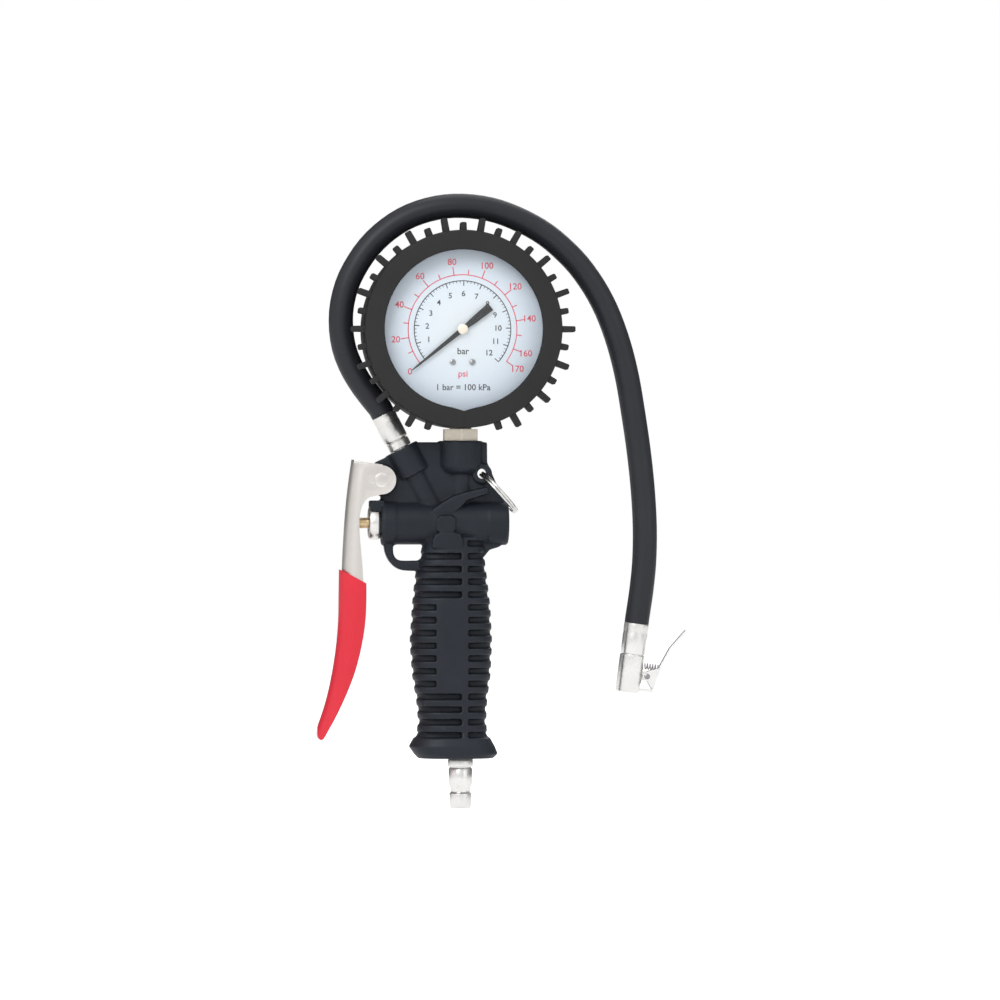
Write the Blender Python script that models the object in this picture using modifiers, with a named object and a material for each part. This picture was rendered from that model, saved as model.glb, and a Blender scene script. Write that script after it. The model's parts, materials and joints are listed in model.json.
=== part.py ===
"""Tyre inflator gun: slotted pistol grip, valve head, dial gauge in a toothed boot, hose and clip-on chuck.

Metres, +Z up. The grip stands upright, the dial faces -Y and the squeeze lever is on the -X side.
The origin is the centre of the inlet nipple's open end.
"""

import math

import bmesh
import bpy
from mathutils import Matrix, Vector

MM = 0.001
GAP = 0.3 * MM  # left between pieces that touch
REACH = 100 * MM  # longer than any cut has to be
FINE, ROUND, COARSE = 48, 28, 14  # sides of large, middling and small round shapes

# Inlet nipple, on the Z axis
NIPPLE_BORE = 2.8 * MM
NIPPLE_SHANK = 4.3 * MM
NIPPLE_SHANK_LENGTH = 15 * MM
NIPPLE_COLLAR_TOP = 21.6 * MM
NIPPLE_PROFILE = (  # radius, height, from the collar down
    (5.7, 21.6), (5.7, 18.9), (4.9, 18.6), (5.3, 17.6), (5.3, 11.0), (4.6, 9.4),
    (4.3, 8.2), (4.3, 7.3), (4.95, 6.8), (4.95, 1.6), (4.4, 0.0),
)

# Cast valve block: a cross barrel, a riser to the gauge, a branch to the hose and a down tube
BARREL_HEIGHT = 128.3 * MM  # the head's pieces are placed from this height
BARREL_LEFT, BARREL_RIGHT = -33.5 * MM, 18.5 * MM
BARREL_RADIUS = 7.4 * MM
VALVE_BORE = 4.5 * MM
PLUG_BORE = VALVE_BORE + 0.7 * MM
PLUG_BORE_LENGTH = 5 * MM
TUBE_RADIUS = 6.2 * MM
TUBE_BORE = 2.6 * MM
SEAL_THICKNESS = 1.2 * MM
INLET_PASSAGE_X, INLET_PASSAGE_RADIUS = 3.4 * MM, 1.8 * MM
GAUGE_PASSAGE_X, GAUGE_PASSAGE_RADIUS = -3.0 * MM, 1.2 * MM
RISER_RADIUS = 4.2 * MM
SOCKET_THREAD = 4.3 * MM
PORT_WALL = 2.6 * MM
PORT_RADIUS = SOCKET_THREAD + GAP + PORT_WALL
BOSS_TOP = BARREL_HEIGHT + 36.9 * MM
GAUGE_SEAL_THICKNESS = 1.1 * MM
PORT_TOP = BOSS_TOP - GAUGE_SEAL_THICKNESS - 2 * GAP
PORT_DEPTH = 8 * MM
PORT_FLOOR = 2 * MM
FITTING_THREAD, HOSE_PORT_WALL, HOSE_PORT_DEPTH = 3.7 * MM, 1.3 * MM, 9.4 * MM
HOSE_PORT_BORE = FITTING_THREAD + GAP
HOSE_PORT_RADIUS = HOSE_PORT_BORE + HOSE_PORT_WALL
BRANCH_RADIUS, BRANCH_PASSAGE = 3.6 * MM, 1.8 * MM

# Hose outlet axis, which leans to the left of upright
OUTLET_TILT = math.radians(27.5)
OUTLET_START = Vector((-34.85 * MM, 0, BARREL_HEIGHT + 48.9 * MM))  # where the hose meets its ferrule
OUTLET_AXIS = Vector((math.sin(OUTLET_TILT), 0, -math.cos(OUTLET_TILT)))  # from the hose into the block
FERRULE_RADIUS, FERRULE_LENGTH = 5.5 * MM, 12.8 * MM
FITTING_COLLAR_RADIUS, FITTING_COLLAR_LENGTH = HOSE_PORT_RADIUS - 0.1 * MM, 3.8 * MM
FITTING_THREAD_LENGTH = 8.6 * MM
FITTING_BORE = 1.5 * MM

# Clamshell
SHELL_WALL = 2.2 * MM
HEAD_LEFT, HEAD_RIGHT = -35.8 * MM, 21.4 * MM
WEB_HALF, LUG_RADIUS = 5 * MM, 7 * MM
BOSS_WALL, BOSS_HEIGHT = 2.5 * MM, 12.2 * MM
BOSS_RADIUS = PORT_RADIUS + GAP + BOSS_WALL
BOSS_BOTTOM = BOSS_TOP - BOSS_HEIGHT
BOSS_FOOT = 2.5 * MM  # taper under the boss
HOSE_BOSS_LENGTH = 12.7 * MM
GUARD_HALF = 4 * MM
GRIP_BOTTOM, GRIP_TOP = 22.6 * MM, BARREL_HEIGHT - 6.3 * MM
GROOVE_HEIGHT, GROOVE_ROWS = 2.4 * MM, 15
GROOVE_LOWEST, GROOVE_HIGHEST = 33.3 * MM, GRIP_TOP - 8.6 * MM
GROOVE_PITCH = (GROOVE_HIGHEST - GROOVE_LOWEST) / (GROOVE_ROWS - 1)
GROOVE_DEPTH_SIDE, GROOVE_DEPTH_FACE = 0.9 * MM, 2.4 * MM
BAND_MIDDLE, BAND_HALF = 1.0 * MM, 1.4 * MM
PANEL_LEFT = -11.8 * MM
PANEL_ROWS = range(4, 11)  # rows whose left groove stops at the plain panel
GRIP_WALL_SIDE, GRIP_WALL_FACE = 3.4 * MM, 4.4 * MM
CAVITY_LOW, CAVITY_HIGH = 38 * MM, GRIP_TOP - 15 * MM
GRIP_SECTIONS = (  # share of the grip's height, then left edge, right edge and half depth in millimetres
    (0.0, -19.1, 14.6, 14.0), (0.02, -20.9, 16.7, 15.6), (0.053, -23.2, 15.4, 16.2),
    (0.117, -19.6, 11.9, 14.2), (0.171, -19.1, 11.6, 13.8), (0.262, -19.9, 12.0, 14.0),
    (0.379, -21.8, 13.5, 14.8), (0.524, -22.8, 14.2, 15.4), (0.687, -21.8, 13.4, 15.0),
    (0.823, -20.4, 11.8, 13.8), (0.913, -18.3, 10.7, 12.2), (1.0, -16.2, 10.6, 9.8),
)
GRIP_SQUARENESS = 2.7
GRIP_SIDES = 20

# Self-tapping screws that close the clamshell from the back
SCREW_HEAD_RADIUS, SCREW_HEAD_HEIGHT = 2.6 * MM, 1.6 * MM
SCREW_SHANK, SCREW_SHANK_LENGTH = 1.4 * MM, 6.9 * MM
SCREW_HEAD_SEAT = 3.2 * MM  # y of the head's underside
SCREW_PILLAR = 4.6 * MM
SCREW_PLACES = {  # x, z
    "head_screw_left": (-11.2 * MM, BARREL_HEIGHT + 23.5 * MM),
    "head_screw_right": (13.4 * MM, BARREL_HEIGHT + BARREL_RADIUS + GAP + SHELL_WALL + 4.4 * MM),
    "grip_screw_upper": (-13.2 * MM, GRIP_TOP - 24.0 * MM),
    "grip_screw_lower": (-12.6 * MM, 47.0 * MM),
}

# Valve train, along the barrel
GLAND_RADIUS, GLAND_HEAD_LENGTH = 7.6 * MM, 5.4 * MM
GLAND_SHANK, GLAND_SHANK_LENGTH = VALVE_BORE - GAP, 10 * MM
STEM_RADIUS = 2.4 * MM
STEM_LENGTH = 38 * MM
NECK_RADIUS = 1.6 * MM
SEAT_MIDDLE, SEAT_THICKNESS, SEAT_WALL = 0 * MM, 2 * MM, 1.7 * MM
POPPET_RADIUS, POPPET_THICKNESS, POPPET_SEAL = VALVE_BORE - 0.9 * MM, 2.2 * MM, 1.2 * MM
PLUG_THICKNESS = 4 * MM
SPRING_WIRE, SPRING_TURNS = 0.4 * MM, 5
SPRING_RADIUS = POPPET_RADIUS - 0.6 * MM

# Squeeze lever: a channel whose web is on the left
PIVOT = Vector((-36.0 * MM, 0, BARREL_HEIGHT + 19.3 * MM))
EAR_RADIUS = 6.5 * MM
LEVER_HALF = 8 * MM
LEVER_STEEL = 1.5 * MM
PIN_RADIUS, PIN_HEAD_RADIUS, PIN_HEAD = 2.0 * MM, 3.3 * MM, 1.0 * MM
LEVER_LEFT_EDGE = (  # x and z from the pivot, down the web's outer face
    (-13.0, 9.2), (-14.9, -4.6), (-16.2, -18.6), (-17.2, -36.0), (-17.5, -49.6),
    (-17.8, -64.6), (-19.2, -78.6), (-21.6, -92.2), (-24.2, -102.2), (-26.9, -110.0),
)
LEVER_RIGHT_EDGE = (  # x and z from the pivot, up the open side
    (-25.2, -112.0), (-22.0, -106.2), (-18.8, -99.6), (-15.4, -91.6), (-12.6, -83.6), (-10.2, -73.6),
    (-8.7, -63.6), (-8.2, -53.6), (-8.4, -41.6), (-9.6, -27.6), (-10.0, -18.6), (-9.2, -13.1),
    (-7.0, -9.0), (-4.2, -7.0),
)
SLEEVE_WALL = 1.0 * MM
SLEEVE_EDGE_LEFT, SLEEVE_EDGE_RIGHT = (-17.4, -40.8), (-7.0, -46.3)  # x and z from the pivot

# Split hang ring, through the right shoulder
RING_HOLE = Vector((9.6 * MM, 0, BARREL_HEIGHT + 22.1 * MM))
RING_RADIUS, RING_WIRE = 11.5 * MM, 1.2 * MM
RING_HOLE_RADIUS = RING_WIRE + 1.7 * MM
RING_DROOP = math.radians(48)

# Gauge, whose axis is along Y
HEX_ACROSS_FLATS, HEX_HEIGHT = 15.0 * MM, 5.3 * MM
SOCKET_NECK, SOCKET_NECK_SHOWN = 5.0 * MM, 4.6 * MM
CASE_RADIUS, CASE_WALL = 40.0 * MM, 1.0 * MM
GAUGE = Vector((0, 0, BOSS_TOP + HEX_HEIGHT + SOCKET_NECK_SHOWN + CASE_RADIUS))
CASE_FRONT, CASE_BACK = -14.0 * MM, 10.0 * MM
BEZEL_WALL, BEZEL_LIP_WIDTH = 0.9 * MM, 4.2 * MM
BEZEL_SKIRT = 5 * MM
LENS_RADIUS, LENS_THICKNESS = CASE_RADIUS - 0.2 * MM, 2.1 * MM
DIAL_RADIUS, DIAL_FRONT, DIAL_THICKNESS = CASE_RADIUS - CASE_WALL - 0.6 * MM, -11.6 * MM, 0.6 * MM
DIAL_SCREW_X, DIAL_SCREW_DROP = 4.4 * MM, 14.7 * MM
DIAL_SCREW_HEAD, DIAL_SCREW_SHANK = 1.3 * MM, 0.5 * MM
NEEDLE_FRONT, NEEDLE_THICKNESS = -13.3 * MM, 0.4 * MM
NEEDLE_REACH, NEEDLE_TAIL, NEEDLE_PADDLE = DIAL_RADIUS - 8.9 * MM, 16.0 * MM, 2.3 * MM
NEEDLE_ZERO = math.radians(219)  # direction of the needle at rest
HUB_RADIUS = 2.3 * MM
ARBOR_RADIUS = 0.5 * MM
PINION_TEETH, SECTOR_TEETH_FULL, SECTOR_TEETH = 8, 60, 9
TOOTH_PITCH = 1.2566 * MM
ADDENDUM, DEDENDUM = 0.36 * MM, 0.52 * MM
TOOTH_FILL = 0.34  # share of the pitch that a tooth is thick at the pitch line
SECTOR_BACK, SECTOR_THICKNESS = -2.0 * MM, 1.0 * MM
SECTOR_TAIL, SECTOR_TAIL_ANGLE = 6.0 * MM, math.radians(-80)
PLATE_FRONT_Y, PLATE_BACK_Y, PLATE_THICKNESS = -6.0 * MM, 1.5 * MM, 1.0 * MM
PLATE_HALF_WIDTH, PLATE_TOP, PLATE_BOTTOM = 10 * MM, 5 * MM, -22 * MM
PILLAR_RADIUS = 1.2 * MM
TUBE_COIL_RADIUS, TUBE_SECTION, TUBE_COIL_Y = CASE_RADIUS - 13.5 * MM, 2.0 * MM, 1.8 * MM
TUBE_COIL_START, TUBE_COIL_END = math.radians(255), math.radians(-35)
LINK_HALF_WIDTH, LINK_THICKNESS = 1.0 * MM, 0.6 * MM
SOCKET_BORE = 1.5 * MM
SOCKET_BLOCK = (13 * MM, 9 * MM)  # width, depth

# Rubber boot
BOOT_WALL = 2.8 * MM
BOOT_LIP_WIDTH, BOOT_BACK_LIP_WIDTH = 8.8 * MM, 10.3 * MM
BOOT_LIP_THICKNESS, BOOT_BACK_THICKNESS = 2.6 * MM, 2.0 * MM
TOOTH_LONG, TOOTH_SHORT, TOOTH_WIDTH = 5.9 * MM, 3.5 * MM, 3.2 * MM  # heights above the boot's side
TOOTH_FRONT, TOOTH_BACK = -19.4 * MM, -7.0 * MM
TOOTH_COUNT = 36
TOOTH_GAP_AT_STEM = (26, 27, 28)  # tooth places left empty above the valve head

# Hose, and the chuck on its far end
HOSE_RADIUS = 5.5 * MM
HOSE_STEP = 1.0  # route points are read this many diameters apart
HOSE_STRAIGHT = 3 * MM  # straight length at each end
HOSE_ROUTE = (  # x, z between the straight ends
    (-39.8, 184.2), (-44.2, 190.0), (-48.8, 197.6), (-52.3, 206.4),
    (-53.8, 216.6), (-53.1, 227.6), (-49.1, 239.9), (-40.1, 253.4), (-27.6, 263.7), (-13.7, 269.3),
    (1.1, 270.9),
    (17.8, 268.2), (35.8, 259.9), (49.3, 248.8), (58.3, 237.8), (65.5, 225.2), (71.1, 210.6),
    (75.2, 194.9), (78.1, 178.2), (80.6, 161.1), (82.4, 144.5), (83.4, 127.4), (83.2, 111.6),
    (81.9, 98.1),
)
CHUCK_TILT = math.radians(7.6)
CHUCK_START = Vector((79.7 * MM, 0, 83.0 * MM))
CHUCK_AXIS = Vector((-math.sin(CHUCK_TILT), 0, -math.cos(CHUCK_TILT)))
CHUCK_SIDE = Vector((math.cos(CHUCK_TILT), 0, -math.sin(CHUCK_TILT)))
CHUCK_RADIUS = 5.6 * MM
CHUCK_FERRULE_LENGTH = 13.7 * MM
CHUCK_BODY_LENGTH = 17.0 * MM
CHUCK_MOUTH_RADIUS, CHUCK_MOUTH_DEPTH = 4.3 * MM, 11.2 * MM
CHUCK_PASSAGE = 1.5 * MM
CHUCK_PIVOT_SIDE, CHUCK_PIVOT_ALONG = 7.6 * MM, 23.1 * MM
CHUCK_EAR_RADIUS, CHUCK_LUG_HALF = 2.0 * MM, 1.5 * MM
CHUCK_PIN_RADIUS = 0.8 * MM
CHUCK_STEEL = 0.8 * MM
CHUCK_NOTCH_HALF, CHUCK_NOTCH_ALONG = 3.0 * MM, 26.6 * MM

COLOURS = {  # colour, roughness, metallic
    "black_nylon": ((0.032, 0.037, 0.042), 0.55, 0.0), "black_rubber": ((0.028, 0.029, 0.032), 0.75, 0.0),
    "seal_rubber": ((0.02, 0.02, 0.02), 0.6, 0.0), "nickel": ((0.80, 0.79, 0.77), 0.22, 1.0),
    "brass": ((0.76, 0.62, 0.42), 0.35, 1.0), "cast_alloy": ((0.55, 0.56, 0.58), 0.5, 1.0),
    "steel": ((0.62, 0.63, 0.65), 0.3, 1.0), "red_sleeve": ((0.80, 0.03, 0.05), 0.35, 0.0),
    "dial_white": ((0.88, 0.91, 0.92), 0.6, 0.0), "clear": ((0.95, 0.97, 0.98), 0.05, 0.0),
    "needle_black": ((0.02, 0.02, 0.02), 0.5, 0.0),
}
Y_AXIS = Vector((0, 1, 0))
X_AXIS = Vector((1, 0, 0))
Z_AXIS = Vector((0, 0, 1))


# Scene helpers

def clear_scene():
    for obj in list(bpy.data.objects):
        bpy.data.objects.remove(obj, do_unlink=True)


def new_collection(name):
    collection = bpy.data.collections.new(name)
    bpy.context.scene.collection.children.link(collection)
    return collection


def mm(*values):
    return tuple(value * MM for value in values)


def at(x, z, y=0.0):
    """A point given in millimetres."""
    return Vector((x * MM, y * MM, z * MM))


def over_barrel(x, z):
    """(x, z) in metres of a point given in millimetres, z from the barrel's axis."""
    return (x * MM, BARREL_HEIGHT + z * MM)


def by_pivot(x, z):
    """(x, z) in metres of a point given in millimetres from the lever's pivot."""
    return (PIVOT.x + x * MM, PIVOT.z + z * MM)


def finish(obj, colour):
    """Gives an object its material, and smooth shading on its round sides."""
    material = bpy.data.materials.get(colour)
    if material is None:
        rgb, roughness, metallic = COLOURS[colour]
        material = bpy.data.materials.new(colour)
        material.use_nodes = True
        shader = material.node_tree.nodes["Principled BSDF"]
        shader.inputs["Base Color"].default_value = (*rgb, 1.0)
        shader.inputs["Roughness"].default_value = roughness
        shader.inputs["Metallic"].default_value = metallic
    obj.data.materials.append(material)
    if obj.type == "MESH":
        obj.data.shade_smooth()
        obj.data.set_sharp_from_angle(angle=math.radians(35))
    return obj


def as_helper(obj):
    """Moves a shape that only cuts, joins or bounds others out of the render."""
    if obj.name not in HELPERS.objects:
        PARTS.objects.unlink(obj)
        HELPERS.objects.link(obj)
    obj.hide_render = True
    obj.display_type = "WIRE"
    return obj


def combine(target, operation, tools):
    for tool in tools:
        modifier = target.modifiers.new(f"{operation.lower()}_{tool.name}", "BOOLEAN")
        modifier.operation = operation
        modifier.solver = "EXACT"
        modifier.object = as_helper(tool)
    return target


def cut(target, *tools):
    return combine(target, "DIFFERENCE", tools)


def join(target, *tools):
    return combine(target, "UNION", tools)


def facing(base, axis):
    """The matrix that stands local +Z along axis, with its origin at base."""
    return Matrix.Translation(base) @ axis.to_track_quat("Z", "Y").to_matrix().to_4x4()


def add_mesh(name, bm, matrix=None):
    mesh = bpy.data.meshes.new(name)
    bm.to_mesh(mesh)
    bm.free()
    obj = bpy.data.objects.new(name, mesh)
    obj.matrix_world = matrix or Matrix()
    PARTS.objects.link(obj)
    return obj


def set_origin(obj, point):
    """Puts a mesh object's origin on a joint's axis, with its shape where it was."""
    place = Matrix.Translation(point)
    obj.data.transform(place.inverted() @ obj.matrix_world)
    obj.matrix_world = place
    return obj


def box(name, low, high):
    bm = bmesh.new()
    low, high = Vector(low), Vector(high)
    size = Matrix.Diagonal((*(high - low), 1))
    bmesh.ops.create_cube(bm, size=1, matrix=Matrix.Translation((low + high) / 2) @ size)
    return add_mesh(name, bm)


def rod(name, start, end, radius, end_radius=None, sides=ROUND):
    """A cylinder or cone between two points."""
    bm = bmesh.new()
    along = end - start
    bmesh.ops.create_cone(
        bm, cap_ends=True, segments=sides, radius1=radius, depth=along.length,
        radius2=radius if end_radius is None else end_radius,
    )
    return add_mesh(name, bm, facing((start + end) / 2, along))


def cross_rod(name, point, radius, sides=COARSE, half=REACH):
    """A cylinder along Y through a point, on both sides of it."""
    return rod(name, point - half * Y_AXIS, point + half * Y_AXIS, radius, sides=sides)


def turned(name, base, axis, profile, sides=ROUND, closed=False):
    """Turns (radius, height) points, which run down the outer side, about an axis from base."""
    bm = bmesh.new()
    verts = [bm.verts.new((radius, 0, height)) for radius, height in profile]
    for first, second in zip(verts, verts[1:] + verts[:1] if closed else verts[1:]):
        bm.edges.new((first, second))
    obj = add_mesh(name, bm, facing(base, axis))
    screw = obj.modifiers.new("turn", "SCREW")
    screw.steps = screw.render_steps = sides
    screw.use_merge_vertices = True
    screw.merge_threshold = 0.00001
    return obj


def ring(name, base, axis, inner, outer, low, high, sides=ROUND):
    profile = ((outer, high), (outer, low), (inner, low), (inner, high))
    return turned(name, base, axis, profile, sides, closed=True)


def meshed(obj):
    """Replaces a curve object by its mesh, with its caps welded on."""
    bpy.context.view_layer.update()
    graph = bpy.context.evaluated_depsgraph_get()
    mesh = bpy.data.meshes.new_from_object(obj.evaluated_get(graph))
    bm = bmesh.new()
    bm.from_mesh(mesh)
    bmesh.ops.remove_doubles(bm, verts=bm.verts, dist=0.000001)
    bmesh.ops.recalc_face_normals(bm, faces=bm.faces)
    bm.to_mesh(mesh)
    bm.free()
    name, matrix = obj.name, obj.matrix_world.copy()
    bpy.data.objects.remove(obj)
    solid = bpy.data.objects.new(name, mesh)
    solid.matrix_world = matrix
    PARTS.objects.link(solid)
    return solid


def plate(name, outline, front, back, holes=()):
    """A flat piece parallel to the dial, from its (x, z) outline, between two values of y."""
    curve = bpy.data.curves.new(name, "CURVE")
    curve.dimensions = "2D"
    curve.fill_mode = "BOTH"
    curve.extrude = (back - front) / 2
    for loop in (outline, *holes):
        spline = curve.splines.new("POLY")
        spline.points.add(len(loop) - 1)
        for point, (x, z) in zip(spline.points, loop):
            point.co = (x, z, 0, 1)
        spline.use_cyclic_u = True
    obj = bpy.data.objects.new(name, curve)
    obj.matrix_world = Matrix.Translation((0, (front + back) / 2, 0)) @ Matrix.Rotation(math.pi / 2, 4, "X")
    PARTS.objects.link(obj)
    return meshed(obj)


def wire(name, points, radius, cyclic=False, resolution=2):
    curve = bpy.data.curves.new(name, "CURVE")
    curve.dimensions = "3D"
    curve.bevel_depth = radius
    curve.bevel_resolution = resolution
    curve.use_fill_caps = not cyclic
    spline = curve.splines.new("POLY")
    spline.points.add(len(points) - 1)
    for point, place in zip(spline.points, points):
        point.co = (*place, 1)
    spline.use_cyclic_u = cyclic
    obj = bpy.data.objects.new(name, curve)
    PARTS.objects.link(obj)
    return obj


def coil_points(start, end, radius, turns, per_turn=10):
    """Points of a helix between two points, about the line that joins them."""
    frame = facing(start, end - start)
    length = (end - start).length
    steps = turns * per_turn
    return [
        frame @ Vector((
            radius * math.cos(math.tau * i / per_turn),
            radius * math.sin(math.tau * i / per_turn),
            length * i / steps,
        ))
        for i in range(steps + 1)
    ]


def arc(centre, radius, start, end, steps):
    """(x, z) points of an arc, in degrees anticlockwise as seen from the front."""
    angles = (math.radians(start + (end - start) * i / steps) for i in range(steps + 1))
    return [(centre[0] + radius * math.cos(a), centre[1] + radius * math.sin(a)) for a in angles]


def polar(centre, radius, angle):
    return (centre[0] + radius * math.cos(angle), centre[1] + radius * math.sin(angle))


def offset(outline, distance):
    """An anticlockwise outline moved outwards by a distance."""
    moved = []
    for before, here, after in zip(outline[-1:] + outline[:-1], outline, outline[1:] + outline[:1]):
        first = Vector((here[1] - before[1], before[0] - here[0])).normalized()
        second = Vector((after[1] - here[1], here[0] - after[0])).normalized()
        mitre = (first + second).normalized()
        reach = distance / max(0.5, mitre.dot(first))
        moved.append((here[0] + mitre.x * reach, here[1] + mitre.y * reach))
    return moved


def smooth_path(route, spacing):
    """Evenly spaced points along a Catmull-Rom curve through a route."""
    ends = [2 * route[0] - route[1], *route, 2 * route[-1] - route[-2]]
    fine = []
    for a, b, c, d in zip(ends, ends[1:], ends[2:], ends[3:]):
        for i in range(20):
            t = i / 20
            fine.append(0.5 * (2 * b + (c - a) * t + (2 * a - 5 * b + 4 * c - d) * t * t
                               + (3 * b - a - 3 * c + d) * t ** 3))
    fine.append(route[-1])
    lengths = [0.0]
    for first, second in zip(fine, fine[1:]):
        lengths.append(lengths[-1] + (second - first).length)
    count = round(lengths[-1] / spacing)
    points, place = [], 0
    for i in range(count + 1):
        target = lengths[-1] * i / count
        while place < len(fine) - 2 and lengths[place + 1] < target:
            place += 1
        share = (target - lengths[place]) / (lengths[place + 1] - lengths[place])
        points.append(fine[place].lerp(fine[place + 1], share))
    return points


# Clamshell and grip

def outlet_point(along):
    return OUTLET_START + along * OUTLET_AXIS


OUTLET_COLLAR = FERRULE_LENGTH + 2 * GAP  # where the fitting's collar starts, along the outlet
OUTLET_MOUTH = OUTLET_COLLAR + FITTING_COLLAR_LENGTH + GAP  # where the block's hose port starts
OUTLET_TO_BARREL = (OUTLET_START.z - BARREL_HEIGHT) / math.cos(OUTLET_TILT)
HOSE_PORT_END = OUTLET_MOUTH + HOSE_PORT_DEPTH + PORT_FLOOR
HOSE_BOSS_RADIUS = HOSE_PORT_RADIUS + GAP + SHELL_WALL
HEAD_RADIUS = BARREL_RADIUS + GAP + SHELL_WALL
PORT_BOTTOM = PORT_TOP - PORT_DEPTH - PORT_FLOOR
TUBE_BOTTOM = NIPPLE_COLLAR_TOP + SEAL_THICKNESS + 2 * GAP
BARREL_START = Vector((BARREL_LEFT, 0, BARREL_HEIGHT))
BARREL_END = Vector((BARREL_RIGHT, 0, BARREL_HEIGHT))


def section_height(share):
    return GRIP_BOTTOM + share * (GRIP_TOP - GRIP_BOTTOM)


def grip_edges(height):
    """Left edge, right edge and half depth of the grip at a height."""
    sections = [(section_height(share), *mm(*row)) for share, *row in GRIP_SECTIONS]
    height = min(max(height, sections[0][0]), sections[-1][0])
    for low, high in zip(sections, sections[1:]):
        if height <= high[0]:
            share = (height - low[0]) / (high[0] - low[0])
            return [a + (b - a) * share for a, b in zip(low[1:], high[1:])]
    return list(sections[-1][1:])


def grip_form(name, inset_side, inset_face, low, high):
    """The grip's form, moved in from its surface, between two heights."""
    rows = [section_height(share) for share, *_ in GRIP_SECTIONS]
    heights = [low, *(row for row in rows if low < row < high), high]
    bm = bmesh.new()
    rings = []
    for height in heights:
        left, right, depth = grip_edges(height)
        middle, half = (left + right) / 2, (right - left) / 2 - inset_side
        loop = []
        for i in range(GRIP_SIDES):
            c, s = math.cos(math.tau * i / GRIP_SIDES), math.sin(math.tau * i / GRIP_SIDES)
            x = math.copysign(abs(c) ** (2 / GRIP_SQUARENESS), c) * half
            y = math.copysign(abs(s) ** (2 / GRIP_SQUARENESS), s) * (depth - inset_face)
            loop.append(bm.verts.new((middle + x, y, height)))
        rings.append(loop)
    for lower, upper in zip(rings, rings[1:]):
        for i in range(GRIP_SIDES):
            j = (i + 1) % GRIP_SIDES
            bm.faces.new((lower[i], lower[j], upper[j], upper[i]))
    bm.faces.new(reversed(rings[0]))
    bm.faces.new(rings[-1])
    bmesh.ops.triangulate(bm, faces=bm.faces[:])
    return add_mesh(name, bm)


def grip_grooves():
    """Rows of grooves on both sides of the plain band, and on the front and back."""
    bm = bmesh.new()
    for row in range(GROOVE_ROWS):
        middle = GROOVE_LOWEST + row * GROOVE_PITCH
        left_end = PANEL_LEFT if row in PANEL_ROWS else BAND_MIDDLE - BAND_HALF
        for low_x, high_x in ((-REACH, left_end), (BAND_MIDDLE + BAND_HALF, REACH)):
            size = Matrix.Diagonal((high_x - low_x, 2 * REACH, GROOVE_HEIGHT, 1))
            place = Matrix.Translation(((low_x + high_x) / 2, 0, middle))
            bmesh.ops.create_cube(bm, size=1, matrix=place @ size)
    grooves = add_mesh("groove_cuts", bm)
    floor = grip_form("groove_floor", GROOVE_DEPTH_SIDE, GROOVE_DEPTH_FACE, GRIP_BOTTOM, GRIP_TOP)
    return cut(grooves, floor)


def head_web():
    """The flat web that joins the barrel, the two bosses and the lever's lug."""
    top = BOSS_TOP - 0.6 * MM
    outline = [by_pivot(-2.2, 8.0), by_pivot(1.8, 9.8), over_barrel(-26.8, 32.9), (-20 * MM, top)]
    outline += [(BOSS_RADIUS + 1.8 * MM, top), over_barrel(11.9, 27.2)]
    outline += [(HEAD_RIGHT - 0.2 * MM, BARREL_HEIGHT + 5.7 * MM)]
    outline += [(HEAD_RIGHT - 0.8 * MM, BARREL_HEIGHT - 8.5 * MM)]
    outline += [over_barrel(17.0, -10.9), over_barrel(13.0, -12.1), over_barrel(10.4, -15.3)]
    outline += [over_barrel(0, -15.3), (0, BARREL_HEIGHT), (HEAD_LEFT, BARREL_HEIGHT)]
    outline += [(HEAD_LEFT, PIVOT.z - LUG_RADIUS + 0.4 * MM)]
    outline += arc((PIVOT.x, PIVOT.z), LUG_RADIUS, 250, 120, 8)
    return plate("head_web", outline, -WEB_HALF, WEB_HALF)


def finger_guard():
    """A strip from the barrel's left end round to the grip."""
    low = -HEAD_RADIUS / MM
    outline = [(-34.6, -2.3), (-34.5, low - 0.9), (-33.2, low - 5.6), (-30.4, low - 9.3), (-26.6, low - 11.3)]
    outline += [(-14, low - 11.7), (-14, low - 7.0), (-26.8, low - 7.0), (-29.2, low - 6.0)]
    outline += [(-30.4, low - 3.6), (-30.4, -2.3)]
    return plate("finger_guard", [over_barrel(*point) for point in outline], -GUARD_HALF, GUARD_HALF)


def shell_outside():
    """The outer form of the whole clamshell."""
    grip = grip_form("grip_outside", 0, 0, GRIP_BOTTOM, GRIP_TOP)
    cut(grip, grip_grooves())
    barrel = rod("barrel_cover", Vector((HEAD_LEFT, 0, BARREL_HEIGHT)),
                 Vector((HEAD_RIGHT, 0, BARREL_HEIGHT)), HEAD_RADIUS)
    boss = turned("gauge_boss", Vector((0, 0, 0)), Z_AXIS, (
        (0, BOSS_TOP), (BOSS_RADIUS, BOSS_TOP), (BOSS_RADIUS, BOSS_BOTTOM),
        (BOSS_RADIUS - 3 * MM, BOSS_BOTTOM - BOSS_FOOT), (0, BOSS_BOTTOM - BOSS_FOOT),
    ))
    hose_boss = rod("hose_boss", outlet_point(OUTLET_MOUTH), outlet_point(OUTLET_MOUTH + HOSE_BOSS_LENGTH),
                    HOSE_BOSS_RADIUS)
    branch = rod("branch_cover", outlet_point(OUTLET_MOUTH + 2 * MM), outlet_point(OUTLET_TO_BARREL),
                 BRANCH_RADIUS + GAP + SHELL_WALL + 0.5 * MM, sides=24)
    riser = rod("riser_cover", Vector((0, 0, BARREL_HEIGHT)), Vector((0, 0, BOSS_BOTTOM + MM)),
                RISER_RADIUS + GAP + SHELL_WALL - 0.6 * MM, sides=24)
    return join(grip, barrel, head_web(), boss, hose_boss, branch, riser, finger_guard())


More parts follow.
